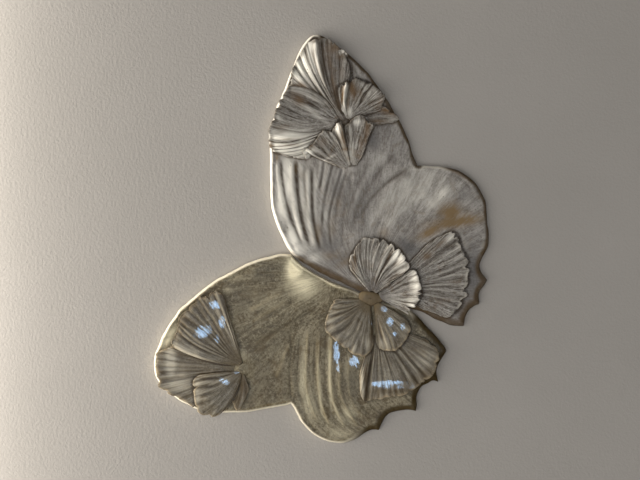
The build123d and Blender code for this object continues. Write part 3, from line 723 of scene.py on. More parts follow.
            (157, 374, 0.6), (159, 383, 0.7), (162, 389, 0.4), (171, 395, 0.5), (181, 399.5, 0.4)],
        "folds": [(157, 362, 5, 0.8, 0.3), (160, 384, 4, -0.8, 0.3)],
        "stains": [(190, 365, 16, 12, 0, 0.4), (182, 355, 8, 5, 0, 0.6), (160, 370, 5, 16, 0, 0.3)],
        "pale": [(182, 374, 8, 8, 0, 0.5), (171, 362, 5, 14, 0, 1.8), (178, 384, 14, 8, 0, 0.8)],
    },
    "side_fan_lower": {
        "apex": (243, 371), "stem": 3, "lift": 3.0, "profile": DOME, "ribs": 16, "depth": 0.65, "seed": 10,
        "fine": 0.06, "root": 0.5, "bow": (0, -2, -3, -2, 0, 0),
        "rim": [(200, 375, 8), (195.5, 378, 9), (193, 382, 9.5), (193.5, 388, 9.5), (194, 394, 9.5),
            (195, 400, 9.5), (196.5, 406, 9.5), (198.5, 411, 9), (203, 414.5, 9), (208, 414.5, 8.5),
            (213, 416.5, 8.5), (218, 415, 8), (223, 411.5, 7.5), (229, 406, 6), (232.5, 402, 4),
            (235, 408, 5.5), (238, 411, 6.5), (242, 405, 7), (246, 397, 6.5), (248.5, 390, 6),
            (248, 384, 5), (245, 380, 4)],
        "grooves": [(197, 377, 0.7), (193, 383, 1.2), (193.5, 391, 0.7), (195, 399, 0.5), (197, 407, 0.6),
            (202, 414, 0.6), (213, 416.5, 0.5), (224, 410.5, 0.7), (238, 411, 0.6), (247, 393, 0.7)],
        "folds": [(232, 402, 4, -2.5, 0.15), (198, 374, 4, 0.8, 0.2)],
        "stains": [(244, 386, 4, 9, 0, 1.0), (236, 400, 5, 10, 0, 0.5)],
        "pale": [(197, 395, 3, 20, 0, 0.6), (226, 380, 6, 3, 20, 0.4)],
        "wet": [(236, 372, 6, 3, 0, 1.0), (224, 381, 8, 4, -30, 1.1)],
    },
    "side_fan_upper": {
        "apex": (243, 366), "stem": 3, "lift": 3.2, "profile": DOME, "ribs": 20, "depth": 0.7, "seed": 11,
        "ragged": 0.8, "fine": 0.05, "root": 0.6, "bow": (0, 0, 0, -2, -4, -2),
        "rim": [(226, 306, 9), (224, 299, 10), (221.5, 294, 11), (217.5, 291.5, 11.5), (213, 291, 11.5),
            (210, 295, 11), (205, 296.5, 11), (199, 295.5, 11), (197.5, 298, 10.5), (193, 303, 10.5),
            (188, 309, 10.5), (183, 313.5, 10.5), (179.5, 318, 10.5), (178.5, 324, 10.5), (178, 330, 10.5),
            (176, 335, 10.5), (172.5, 340, 10), (172, 344.5, 9), (175, 348.5, 7), (182, 349.5, 5.5),
            (189, 353, 4.5), (195, 357, 4)],
        "grooves": [(220, 293, 1.0), (213, 291, 0.7), (203, 296, 0.5), (197.5, 298, 0.6), (192, 304, 0.9),
            (187, 310, 0.9), (182, 315, 1.2), (179, 321, 0.9), (178.5, 327, 1.1), (177, 333, 0.9),
            (173, 339, 0.6), (177, 349, 0.5), (188, 352.5, 0.6)],
        "folds": [(173, 345, 5, 1.6, 0.2), (176, 334, 4, -1.2, 0.2), (222, 295, 4, 1.0, 0.3)],
        "stains": [(228, 345, 5, 20, 25, 0.4), (200, 305, 10, 6, 0, 0.4), (184, 322, 5, 6, 0, 0.4)],
        "pale": [(186, 350, 16, 4, -25, 0.6), (233, 335, 3, 14, 25, 0.5), (176, 333, 3, 8, 0, 0.5)],
        "wet": [(203, 332, 13, 10, 20, 1.1), (215, 305, 9, 7, -20, 1.0), (222, 322, 6, 11, 0, 1.0),
            (217, 339, 5, 9, 0, 0.9)],
    },
    "lower_fan": {
        "over": ["hub_fan_left", "hub_fan_lower"], "apex": (376, 322), "stem": 14, "lift": 2.0,
        "profile": DROOP, "ribs": 24, "depth": 0.75, "seed": 12, "fine": 0.05,
        "rim": [(362, 366, 6, 1), (360, 374, 7, 1), (360, 384, 8, 1), (361, 394, 8.5, 1),
            (364, 401, 8.5, 1), (366.5, 401, 5.5), (370, 400.5, 8.5), (376, 399.5, 9), (381, 399.5, 9),
            (386, 397, 9), (391, 397, 9), (396, 395.5, 9), (402, 395, 9), (409, 391.5, 9),
            (417, 386.5, 8.5, 1), (425, 381, 8, 1.5), (433, 375, 7.5, 2), (437, 367, 7.5, 2),
            (439.5, 357, 7.5, 2), (437, 349, 7, 2), (431, 344, 6.5, 1.5), (425, 339, 6, 1.5),
            (418, 337, 5.5, 1), (411, 336, 5, 1)],
        "grooves": [(360, 377, 0.5), (366.5, 401, 1.0), (372, 400, 0.8), (378, 399.5, 1.0),
            (385, 397.5, 1.3), (392, 397, 0.7), (398, 395.5, 1.3), (404, 394, 0.6), (411, 390, 0.7),
            (418, 386, 1.2), (426, 380.5, 1.1), (433, 375, 0.6), (437, 365, 0.5), (438, 353, 0.6),
            (427, 341, 0.7)],
        "folds": [(366.5, 401, 2.2, -2.2, 0.2), (362, 392, 3, 1.0, 0.2)],
        "stains": [(390, 391, 22, 4, 5, 0.5), (420, 350, 12, 8, 30, 0.4), (366, 380, 2, 20, 0, 0.9),
            (428, 374, 10, 6, 30, 0.4)],
        "pale": [(425, 358, 12, 10, 0, 0.3), (383, 397, 3, 4, 0, 0.7), (362, 385, 2, 18, 0, 0.6)],
        "wet": [(394, 385, 30, 5, -3, 1.4)],
    },
    "hub_fan_left": {
        "over": ["hub_fan_lower"], "apex": (370, 300), "stem": 5, "lift": 4.4, "profile": DOME, "ribs": 16,
        "depth": 0.8, "seed": 13, "ragged": 0.5, "fine": 0.05, "root": 1.0,
        "rim": [(342, 299, 5), (335, 300, 6), (332.5, 304, 6.5), (330, 309, 7.5), (327, 314.5, 8.5),
            (326, 320, 9), (325, 326, 9.5), (326.5, 331.5, 10), (331, 336, 10), (336, 340.5, 10),
            (342, 345.5, 10.5), (348, 350, 10.5), (353, 353.5, 10.5), (358, 355.5, 10.5), (363, 356.5, 10),
            (367, 354.5, 9.5), (370.5, 351, 8.5), (373, 346, 6.5), (373.5, 340, 5)],
        "grooves": [(334, 302, 0.6), (329, 311, 0.9), (326, 320, 0.9), (326, 330, 1.0), (333, 338, 0.9),
            (341, 345, 0.7), (350, 351.5, 0.8), (358, 355.5, 0.9), (365, 355.5, 0.8), (371.5, 349, 0.6)],
        "stains": [(350, 315, 8, 8, 0, 0.3), (372, 335, 3, 16, 0, 0.7)],
        "pale": [(330, 322, 4, 12, 0, 0.3), (352, 348, 10, 4, -35, 0.3), (368, 343, 4, 6, 0, 0.6)],
        "wet": [(371, 322, 4, 16, 0, 0.8)],
    },
    "hub_fan_lower": {
        "apex": (374, 300), "stem": 5, "lift": 4.6, "profile": DOME, "ribs": 14, "depth": 0.75, "seed": 14,
        "ragged": 0.5, "fine": 0.05, "root": 1.0,
        "rim": [(376.5, 342, 6), (378.5, 347, 8), (381.5, 350, 10), (386, 350, 11), (391, 350.5, 12),
            (395.5, 350.5, 12.5), (400, 347, 12.5), (404.5, 342, 12.5), (408, 336, 12), (410.5, 330, 11.5),
            (409.5, 325, 10.5), (406, 320, 9.5), (400.5, 314.5, 8)],
        "grooves": [(378.5, 347, 0.8), (385, 350, 0.7), (391, 350.5, 0.5), (397, 350, 0.5), (403, 344, 0.7),
            (408, 336, 0.5), (410, 327, 0.5)],
        "stains": [(396, 340, 10, 5, 30, 0.35), (380, 325, 4, 14, 0, 0.4)],
        "pale": [(384, 344, 6, 6, 0, 0.6), (405, 333, 5, 7, 0, 0.4)],
        "wet": [(384, 309, 4.5, 4, 0, 1.3), (390, 322, 5, 7, 0, 1.1), (403, 326, 4, 6, 0, 1.1),
            (395, 334, 4, 4, 0, 1.0)],
    },
}

# Small curls of clay, torn from the fans' rims
SCRAPS = {
    "tip_left_curl": {
        "apex": (313, 147), "stem": 1, "lift": 3.0, "profile": RISE, "ribs": 3, "depth": 0.5, "seed": 31,
        "rim": [(304, 148, 7.5), (303.5, 152, 8), (305, 156, 7.5), (307, 160, 6), (309.5, 158, 5)],
        "pale": [(306, 153, 6, 8, 0, 1.0)],
    },
    "tip_top_curl": {
        "apex": (340, 62), "stem": 1, "lift": 7.0, "profile": CURL_UP, "ribs": 3, "depth": 0.4, "seed": 32,
        "rim": [(338, 51, 11), (342, 49.5, 13.5), (346, 52, 13), (347.5, 56, 11.5)],
        "stains": [(340, 57, 3, 2, 0, 0.8)],
        "pale": [(344, 52, 3, 3, 0, 0.8)],
    },
}
WHITE_FANS = ("tip_fan_under", "tip_fan_left", "tip_fan_top", "tip_fan_right", "tip_fan_front",
              "outer_fan", "hub_fan_right", "hub_fan_upper")

# How finely the fans are meshed, and the width of the teeth their rims are torn into, in pixels
RIB_STEPS = 6
FAN_ROWS = 38
RIM_STEP = 0.5
TOOTH_WIDTH = 5
# A fan's thickness at the stem and how much thinner it is at the rim, in mm
STEM_THICK = 2.9
RIM_THINNER = 1.7
# How far its edge is rounded outwards, as a share of its thickness
EDGE_BULGE = 0.32
# How many steps a profile is smoothed to, and how long a fan counts for its glaze's streaks
PROFILE_STEPS = 41
STREAK_LENGTH = 55


def pleats(rng, count, s, v, seed, cuts=()):
    """Return a fan's pleats: their relief from about -1 to 0.5, their dark grooves and their crests.

    The grooves lie at the cuts, given as a share of the rim and a strength, or at random places.
    """
    across, out = s * count + 0 * v, v * 6 + 0 * s
    bounds = np.r_[0, np.cumsum(rng.uniform(0.5, 1.6, count))]
    deep = rng.choice([0.25, 0.65, 1.2], count + 1, p=[0.25, 0.45, 0.3]) * rng.uniform(0.7, 1.2, count + 1)
    if cuts:
        count = len(cuts) + 1
        bounds = np.array([0, *(at for at, _ in cuts), 1])
        deep = np.array([0.3, *(strength for _, strength in cuts), 0.3])
    wander = 0.3 * wobble(across, out, 3.0, seed + 20) / count
    q = np.clip(np.interp(s + wander, bounds / bounds[-1], np.arange(count + 1)), 0, count - 1e-6)
    rib = q.astype(int)
    t = q - rib
    # The shallow grooves start further out, so the pleats branch as a ginkgo leaf's veins do.
    start = np.clip(0.6 - 0.5 * deep, 0, 0.5) * rng.uniform(0.5, 1.3, count + 1)
    fade = 0.8 + 0.3 * wobble(across, out, 4.0, seed + 30)
    left = deep[rib] * ease(start[rib], start[rib] + 0.25, v) * fade
    right = deep[rib + 1] * ease(start[rib + 1], start[rib + 1] + 0.25, v) * fade
    swell = 0.55 + 0.35 * rng.uniform(-1, 1, count)[rib]
    mean = (left + right) / 2
    relief = swell * np.sin(math.pi * t) * mean
    relief -= left * np.clip(1 - t / 0.42, 0, 1) ** 1.5 + right * np.clip(1 - (1 - t) / 0.42, 0, 1) ** 1.5
    dark = left * np.exp(-((t / 0.16) ** 2)) + right * np.exp(-(((1 - t) / 0.16) ** 2))
    return relief, dark, mean * np.sin(math.pi * t) ** 3


def layered_pleats(rng, ribs, s, v, seed, cuts, fine):
    """Return a fan's relief, dark grooves and crests: main pleats, the ribs among them and fine lines."""
    relief, dark, light = pleats(rng, ribs, s, v, seed, cuts)
    if cuts:
        rib_relief, rib_dark, rib_light = pleats(rng, ribs, s, v, seed + 3)
        relief = relief + 0.45 * rib_relief
        dark = dark + 0.4 * rib_dark
        light = 0.7 * light + 0.4 * rib_light
    lines, line_dark, _ = pleats(rng, round(ribs * 2.6), s, v, seed + 5)
    return relief + fine * lines, dark + 1.6 * fine * line_dark, light


def torn_rim(rng, ribs, s, seed, crests, rim_length, ragged):
    """Return how far a fan reaches past its outline in pixels: out at its crests, and torn into teeth."""
    teeth = max(3, round(rim_length / TOOTH_WIDTH))
    reach = 0.6 * wobble(s * ribs, 0 * s, 3.5, seed + 7) + 0.5 * crests
    for at, bite in zip(rng.uniform(0.03, 0.97, teeth), rng.uniform(0, 2.4, teeth) ** 1.3):
        reach -= bite * np.clip(1 - np.abs(s - at) * rim_length / rng.uniform(1.2, 2.4), 0, 1)
    return reach * (1.35 * ragged * ease(0, 0.03, np.minimum(s, 1 - s)))


def points_over_slab(px, py, height):
    """Return points in metres at places in pixels and heights above the slabs' front in mm."""
    x, z = place(px, py, SLAB_TOP + height)
    return np.column_stack([x.ravel(), -(SLAB_TOP + height).ravel() * MM, z.ravel()])


def leaf_mesh(px, py, top, under):
    """Return a leaf's points and faces between two grids of heights in mm, and its edge's grid numbers.

    The points are the top's, the underside's, and a middle row that rounds the edge between them outwards.
    """
    grid = np.arange(top.size).reshape(top.shape)
    half = top.size
    verts = [points_over_slab(px, py, top), points_over_slab(px, py, under)]
    quads = np.stack([grid[:-1, :-1], grid[:-1, 1:], grid[1:, 1:], grid[1:, :-1]], -1).reshape(-1, 4)
    corner, second, _, last = (verts[0][quads[:, k]] for k in range(4))
    if np.median(np.cross(second - corner, last - corner)[:, 1]) > 0:
        quads = quads[:, ::-1]
    faces = [tuple(q) for q in quads] + [tuple(q + half) for q in quads[:, ::-1]]
    loop = np.r_[grid[0, :], grid[1:, -1], grid[-1, -2::-1], grid[-2:0:-1, 0]]
    flat = np.column_stack([px.ravel(), py.ravel()])[loop]
    outward = -inward_normals(flat)
    bulge = EDGE_BULGE * (top - under).ravel()[loop] * MM / PIXEL
    middle = (top.ravel() + under.ravel())[loop] / 2
    verts.append(points_over_slab(*(flat + outward * bulge[:, None]).T, middle))
    points = np.vstack(verts)
    count = len(loop)
    sides = []
    for i in range(count):
        j = (i + 1) % count
        sides.append((loop[i], loop[j], 2 * half + j, 2 * half + i))
        sides.append((2 * half + i, 2 * half + j, loop[j] + half, loop[i] + half))
    a, b, c = (points[k] for k in sides[0][:3])
    edge_normal = np.cross(b - a, c - a)
    if outward[0, 0] * edge_normal[0] - outward[0, 1] * edge_normal[2] < 0:
        sides = [q[::-1] for q in sides]
    faces += [tuple(int(k) for k in q) for q in sides]
    return points, faces, loop


def fan(name, nodes, material, slot, apex, stem, lift, profile, ribs, depth, seed, rim, grooves=(),
        folds=(), bow=(0, 0), over=(), ragged=0.6, fine=0.16, root=0.0, worn_rim=0.9, dark_rim=0.15,
        stains=(), pale=(), dim_and_shade=(), wet=()):
    """Make a leaf of clay that fans out from its apex in ribs, lifts off the slab and ends in a ragged rim.

    A groove is a rim place and how deep it is. A fold is a rim place, its width there in pixels, its height
    in mm, and the share of the way out where it starts. Along the grid, s is the share of the rim and v the
    share of the way out.
    """
    rng = np.random.default_rng(seed)
    rows = smooth(full_rows(rim), RIM_STEP)
    share_of_row = np.linspace(0, 1, len(rows))
    rim_length = RIM_STEP * len(rows)

    def share_at(at_x, at_y):
        """Return the share of the rim at which it comes nearest to a place."""
        return share_of_row[np.argmin(np.hypot(rows[:, 0] - at_x, rows[:, 1] - at_y))]

    s = np.linspace(0, 1, ribs * RIB_STEPS + 1)
    x, y, height, curl = (np.interp(s, share_of_row, column) for column in rows.T)
    v = np.linspace(0, 1, FAN_ROWS)[:, None] ** 0.9
    cuts = sorted((share_at(at_x, at_y), strength) for at_x, at_y, strength in grooves)
    relief, dark, light = layered_pleats(rng, ribs, s, v, seed, cuts, fine)
    reach = torn_rim(rng, ribs, s, seed, light[-1], rim_length, ragged)
    dx, dy = x - apex[0], y - apex[1]
    length = np.hypot(dx, dy)
    ux, uy = dx / length, dy / length
    out = stem + (length + reach - stem) * v
    bend = np.interp(s, np.linspace(0, 1, len(bow)), bow) * 4 * v * (1 - v)
    px = apex[0] + ux * out - uy * bend
    py = apex[1] + uy * out + ux * bend
    swell = np.interp(v, np.linspace(0, 1, PROFILE_STEPS), smooth_profile(profile))
    h = lift + np.maximum(height - lift, 0.4) * swell + curl * ease(0.7, 1, v)
    for fold_x, fold_y, width, rise, start in folds:
        away = (s - share_at(fold_x, fold_y)) * rim_length / width
        grown = ease(start, start + 0.4, v)
        h = h + rise * np.exp(-(away**2)) * grown
        if rise > 0:
            light = light + min(1, rise / 2) * np.exp(-((away / 0.6) ** 2)) * grown
        else:
            dark = dark + min(1, -rise / 1.5) * np.exp(-((away / 0.4) ** 2)) * grown
    h = h + depth * relief * ease(-0.1, 0.5, v)
    h = h + 0.5 * wobble(px, py, 16, seed + 50) * ease(0.1, 0.7, v) + 0.16 * wobble(px, py, 4, seed + 90)
    h = np.maximum(h, 0.8)
    under = np.maximum(h - (STEM_THICK - RIM_THINNER * ease(0.3, 1, v)), -0.4)
    side = np.minimum(s, 1 - s) * rim_length * np.maximum(v, 0.2)
    worn = np.maximum(worn_rim * ease(0.94, 1, v), 0.2 * (1 - ease(0, 1.0, side)))
    # Shade is painted along the outlines of the leaves that lie over this one.
    dark = dark * ease(0, 0.25, v) + 3.0 * painted_outline_shade(px, py, over, 1.5)
    dark = dark + dark_rim * ease(0.92, 1, v) * np.clip(0.7 + wobble(px, py, 5, seed + 60), 0, 1.4)
    points, faces, loop = leaf_mesh(px, py, h, under)
    # Where the glaze's streaks run: round the rim, outwards, and a number that differs for each leaf
    round_rim, outwards = (s * rim_length + 0 * v).ravel(), (v * STREAK_LENGTH + 0 * h).ravel()
    along = np.column_stack([round_rim, outwards, np.full(h.size, seed * 37.0)])

    def both(values):
        """Return grid values for the top, the underside and the edge's middle row."""
        flat_values = (values + 0 * h).ravel()
        return np.concatenate([flat_values, flat_values, flat_values[loop]])

    attributes = {
        "groove": both(np.clip(dark, 0, 1)), "crest": both(np.clip(light, 0, 1)), "edge": both(worn),
        "stain": both(spots(px, py, stains)), "pale": both(spots(px, py, pale)),
        "dim_and_shade": both(np.maximum(root * (1 - ease(0.04, 0.34, v)), spots(px, py, dim_and_shade))),
        "brown_shade": both(0.0), "wet": both(spots(px, py, wet)),
        "bare": np.repeat((0.0, 0.8, 0.1), (h.size, h.size, len(loop))),
        "along": np.vstack([along, along, along[loop]]),
    }
    attributes["edge"][2 * h.size:] = 0.6
    make_piece(name, points, faces, nodes, attributes, material)


def smooth_profile(profile):
    """Return smooth values of a profile at even steps, from a curve drawn 100 wide and 20 high."""
    steps = np.linspace(0, 1, len(profile))
    curve = smooth(np.column_stack([steps * 100, np.array(profile) * 20]), 0.5)
    return np.interp(np.linspace(0, 100, PROFILE_STEPS), curve[:, 0], curve[:, 1] / 20)


# The pad's place in pixels, its height over its width, and its mesh's rings and turns
PAD_CENTRE = (370, 298.5)
PAD_FLAT = 0.68
PAD_MESH = (18, 64)


def hub_pad(material):
    """Make the low lump of clay pressed over the stems at the hub."""
    rings, turns = PAD_MESH
    u = np.linspace(0, 1, rings)[:, None]
    a = np.linspace(0, 2 * math.pi, turns, endpoint=False)[None, :]
    radius = 11.6 + 1.1 * np.sin(2 * a + 1) + 0.8 * np.sin(3 * a + 2) + 0.5 * np.sin(5 * a + 0.5)
    px = PAD_CENTRE[0] + radius * u * np.cos(a)
    py = PAD_CENTRE[1] + radius * u * np.sin(a) * PAD_FLAT
    h = 6.0 - 3.0 * u**3 + 0.35 * wobble(px, py, 9, 71) + 0.12 * wobble(px, py, 3, 72)
    h = np.where(u >= 1, 0.0, h)
    verts = points_over_slab(px, py, h)
    grid = np.arange(rings * turns).reshape(rings, turns)
    faces = []
    for i in range(1, rings - 1):
        for j in range(turns):
            k = (j + 1) % turns
            faces.append((grid[i + 1, j], grid[i + 1, k], grid[i, k], grid[i, j]))
    faces += [(grid[1, (j + 1) % turns], grid[1, j], grid[0, 0]) for j in range(turns)]
    faces.append(tuple(grid[-1, :][::-1]))
    used = sorted({int(i) for f in faces for i in f})
    number = {old: new for new, old in enumerate(used)}
    faces = [tuple(number[int(i)] for i in f) for f in faces]
    verts = verts[used]
    if not tri_faces_front(verts, faces[0][:3]):
        faces = [f[::-1] for f in faces]
    zero = np.zeros(len(used))
    attributes = {key: zero for key in ("groove", "crest", "edge", "pale", "dim_and_shade", "bare", "brown_shade", "wet")}
    attributes["stain"] = zero + 0.6
    attributes["along"] = verts[:, (0, 2, 1)] * 900
    make_piece("hub_pad_pressed", verts, faces, ["hub_pad"], attributes, material)


def new_node(tree, kind, inputs=None, **settings):
    """Add a node, set its settings, and fill or link its inputs."""
    made = tree.nodes.new(kind)
    for key, value in settings.items():
        setattr(made, key, value)
    for key, value in (inputs or {}).items():
        if isinstance(value, bpy.types.NodeSocket):
            tree.links.new(value, made.inputs[key])
        else:
            made.inputs[key].default_value = value
    return made


def attribute(tree, name):
    """Return a mesh attribute's value."""
    return new_node(tree, "ShaderNodeAttribute", attribute_name=name).outputs["Fac"]


def math_node(tree, operation, first, second=0.5):
    """Return first and second combined, kept from 0 to 1."""
    made = new_node(tree, "ShaderNodeMath", {0: first, 1: second}, operation=operation, use_clamp=True)
    return made.outputs[0]


def spread(tree, value, low, high, out_low=0.0, out_high=1.0):
    """Return a value brought from one range to another, smoothly."""
    made = new_node(tree, "ShaderNodeMapRange", {"Value": value, "From Min": low, "From Max": high,
                                                 "To Min": out_low, "To Max": out_high},
                    interpolation_type="SMOOTHSTEP")
    return made.outputs["Result"]


def blend(tree, factor, first, second):
    """Return two colours mixed by a factor."""
    made = new_node(tree, "ShaderNodeMix", {0: factor, 6: first, 7: second}, data_type="RGBA")
    return made.outputs[2]


def noise(tree, vector, scale, detail=4.0, rough=0.55, distortion=0.0):
    """Return a noise texture's value."""
    made = new_node(tree, "ShaderNodeTexNoise", {"Vector": vector, "Scale": scale, "Detail": detail,
                                                 "Roughness": rough, "Distortion": distortion})
    return made.outputs["Fac"]


def rgba(red, green, blue):
    """Return an opaque colour."""
    return (red, green, blue, 1.0)


def new_material(name):
    """Return a new material, its node tree, and the places on the object for its textures."""
    material = bpy.data.materials.new(name)
    material.use_nodes = True
    tree = material.node_tree
    tree.nodes.clear()
    return material, tree, new_node(tree, "ShaderNodeTexCoord").outputs["Object"]


def use_surface(tree, shader, one_sided=False):
    """Make a shader the material's surface, clear from behind where it is one-sided."""
    if one_sided:
        behind = new_node(tree, "ShaderNodeNewGeometry").outputs["Backfacing"]
        clear = new_node(tree, "ShaderNodeBsdfTransparent").outputs[0]
        shader = new_node(tree, "ShaderNodeMixShader", {0: behind, 1: shader.outputs[0], 2: clear})
    new_node(tree, "ShaderNodeOutputMaterial", {"Surface": shader.outputs[0]})


def bumped(tree, height, strength, distance, below=None, **settings):
    """Return a normal bumped by a height over a distance in metres, on top of another bump."""
    inputs = {"Height": height, "Strength": strength, "Distance": distance}
    if below is not None:
        inputs["Normal"] = below
    return new_node(tree, "ShaderNodeBump", inputs, **settings).outputs[0]


CLAY = rgba(0.30, 0.235, 0.17)


def glaze(name, tones, rough, grain=0.3, speck=0.5, dashes=0.0, unbroken=0.6, sheen=0.04, patches=0.0):
    """Make a stoneware glaze with patches, brushed streaks, stains, pinholes, and edges of another tone, on
    the slabs painted light and shade.

    rough is the range of its roughness. The rest are shares from 0 to 1: grain of the fine mottle, speck of
    the dark pits, dashes of short dark strokes, unbroken of the edges' tone where it is weakest, sheen of
    the gloss where it isn't wet, and patches of the rusty clouds.
    """
    material, tree, here = new_material(name)
    along = new_node(tree, "ShaderNodeAttribute", attribute_name="along").outputs["Vector"]

    def streaks(across, length, detail):
        """Return noise drawn out along the brush's way, for streaks of a width and a length in pixels."""
        scale = (1 / across, 1 / length, 0.1)
        at = new_node(tree, "ShaderNodeMapping", {"Vector": along, "Scale": scale}).outputs[0]
        return noise(tree, at, 1.0, detail, 0.62, 0.5)

    broad, streak, fine = streaks(11.0, 75.0, 5.0), streaks(3.2, 30.0, 5.0), streaks(1.3, 9.0, 4.0)
    patch = noise(tree, here, 34.0, 6.0, 0.62, 0.8)
    mottle = noise(tree, here, 430.0, 3.0, 0.75)
    cloud = noise(tree, here, 85.0, 5.0, 0.6, 0.6)
    colour = blend(tree, spread(tree, patch, 0.4, 0.6), tones["dark"], tones["mid"])
    # Each layer sets in where its noise goes from low to high, up to its most.
    for texture, low, high, most, tone in (
            (cloud, 0.5, 0.4, 0.5, "dark"), (cloud, 0.52, 0.64, 0.4, "light"),
            (broad, 0.44, 0.66, 0.8, "light"), (streak, 0.47, 0.68, 0.75, "light"),
            (streak, 0.52, 0.34, 0.7, "dark"), (fine, 0.52, 0.72, 0.4, "light"),
            (mottle, 0.5, 0.66, 0.8 * grain, "speck"), (mottle, 0.48, 0.34, grain, "light")):
        colour = blend(tree, spread(tree, texture, low, high, 0.0, most), colour, tones[tone])
    if patches:
        rust = spread(tree, noise(tree, here, 62.0, 6.0, 0.68, 0.5), 0.55, 0.63, 0.0, patches)
        colour = blend(tree, rust, colour, tones["stain"])
    if dashes:
        dash = spread(tree, streaks(0.9, 8.0, 3.0), 0.52, 0.6, 0.0, dashes)
        colour = blend(tree, dash, colour, tones["groove"])
    ragged = spread(tree, fine, 0.3, 0.62, 0.55, 1.0)
    soft = spread(tree, streak, 0.3, 0.6, 0.55, 1.0)
    crest = math_node(tree, "MULTIPLY", attribute(tree, "crest"), soft)
    colour = blend(tree, math_node(tree, "MULTIPLY", crest, 0.7), colour, tones["crest"])
    # The dim and pale marks are partly painted shade and painted light.
    for mark, border in (("dim_and_shade", soft), ("pale", soft), ("groove", ragged), ("stain", ragged)):
        share = math_node(tree, "MULTIPLY", attribute(tree, mark), border)
        colour = blend(tree, share, colour, tones[mark])
    uneven = spread(tree, noise(tree, here, 130.0, 4.0, 0.65), 0.38, 0.62, unbroken, 1.0)
    # Edges are painted light and shade: cream where they face the light, brown where they face away.
    rim = blend(tree, attribute(tree, "brown_shade"), tones["edge"], tones["brown_shade"])
    colour = blend(tree, math_node(tree, "MULTIPLY", attribute(tree, "edge"), uneven), colour, rim)
    cells = new_node(tree, "ShaderNodeTexVoronoi", {"Vector": here, "Scale": 300.0, "Randomness": 1.0})
    near = spread(tree, cells.outputs["Distance"], 0.10, 0.24, 1.0, 0.0)
    some = spread(tree, noise(tree, here, 70.0, 3.0), 0.52, 0.66)
    pits = math_node(tree, "MULTIPLY", near, some)
    colour = blend(tree, math_node(tree, "MULTIPLY", pits, speck), colour, rgba(0.045, 0.033, 0.022))
    bare = attribute(tree, "bare")
    clay = blend(tree, spread(tree, mottle, 0.35, 0.7), CLAY, rgba(0.42, 0.34, 0.25))
    clay = blend(tree, spread(tree, patch, 0.4, 0.65, 0.0, 0.5), clay, rgba(0.22, 0.16, 0.11))
    colour = blend(tree, bare, colour, clay)
    roughness = spread(tree, patch, 0.3, 0.7, *rough)
    wet = math_node(tree, "MULTIPLY", attribute(tree, "wet"), streaks(1.6, 6.0, 4.0))
    wet = spread(tree, wet, 0.35, 0.43)
    for share, there in ((wet, 0.06), (bare, 0.85)):
        made = new_node(tree, "ShaderNodeMix", {0: share, 2: roughness, 3: there}, data_type="FLOAT")
        roughness = made.outputs[0]
    normal = bumped(tree, mottle, grain, 0.0002)
    normal = bumped(tree, fine, grain, 0.0006, normal)
    normal = bumped(tree, pits, 0.5, 0.0005, normal, invert=True)
    shader = new_node(tree, "ShaderNodeBsdfPrincipled", {
        "Base Color": colour, "Roughness": roughness, "Normal": normal,
        "Specular IOR Level": spread(tree, wet, 0.0, 1.0, sheen, 1.0)})
    use_surface(tree, shader)
    return material


# On the slabs the cream edge tone is painted light and the brown one painted shade.
WHITE_TONES = {
    "light": rgba(0.40, 0.38, 0.348), "mid": rgba(0.285, 0.268, 0.247), "dark": rgba(0.205, 0.185, 0.165),
    "crest": rgba(0.55, 0.53, 0.48), "pale": rgba(0.78, 0.75, 0.67), "dim_and_shade": rgba(0.105, 0.099, 0.097),
    "groove": rgba(0.075, 0.056, 0.039), "stain": rgba(0.205, 0.14, 0.07), "edge": rgba(0.88, 0.83, 0.72),
    "brown_shade": rgba(0.105, 0.074, 0.044), "speck": rgba(0.09, 0.072, 0.055),
}
WHITE_LEAF_TONES = dict(
    WHITE_TONES,
    light=rgba(0.41, 0.388, 0.355), mid=rgba(0.255, 0.24, 0.218), dark=rgba(0.17, 0.153, 0.133),
    crest=rgba(0.54, 0.52, 0.465), pale=rgba(0.86, 0.83, 0.745), dim_and_shade=rgba(0.12, 0.108, 0.098),
    groove=rgba(0.045, 0.031, 0.019), stain=rgba(0.14, 0.088, 0.045), edge=rgba(0.48, 0.45, 0.39))
# On the slabs the cream edge tone is painted light and the brown one painted shade.
OLIVE_TONES = {
    "light": rgba(0.31, 0.27, 0.182), "mid": rgba(0.206, 0.174, 0.114), "dark": rgba(0.118, 0.094, 0.056),
    "crest": rgba(0.56, 0.46, 0.27), "pale": rgba(0.78, 0.71, 0.50), "dim_and_shade": rgba(0.095, 0.085, 0.065),
    "groove": rgba(0.07, 0.052, 0.028), "stain": rgba(0.11, 0.078, 0.038), "edge": rgba(0.76, 0.70, 0.56),
    "brown_shade": rgba(0.055, 0.037, 0.014), "speck": rgba(0.075, 0.056, 0.03),
}
OLIVE_LEAF_TONES = dict(
    OLIVE_TONES,
    light=rgba(0.285, 0.257, 0.20), mid=rgba(0.168, 0.145, 0.103), dark=rgba(0.104, 0.084, 0.055),
    crest=rgba(0.38, 0.34, 0.265), pale=rgba(0.60, 0.55, 0.44), dim_and_shade=rgba(0.13, 0.098, 0.055),
    groove=rgba(0.06, 0.043, 0.026), stain=rgba(0.10, 0.068, 0.036), edge=rgba(0.36, 0.29, 0.19))
PAD_TONES = dict(
    OLIVE_TONES,
    light=rgba(0.20, 0.158, 0.098), mid=rgba(0.165, 0.127, 0.078), dark=rgba(0.12, 0.09, 0.05),
    stain=rgba(0.14, 0.103, 0.058))
white_slab = glaze("white_slab_glaze", WHITE_TONES, (0.4, 0.58), grain=0.4, speck=0.6, dashes=0.35,
                   unbroken=0.8, sheen=0.02, patches=0.25)
white_leaf = glaze("white_leaf_glaze", WHITE_LEAF_TONES, (0.38, 0.56), grain=0.65, speck=0.6, dashes=1.0,
                   unbroken=0.1, sheen=0.02, patches=0.55)
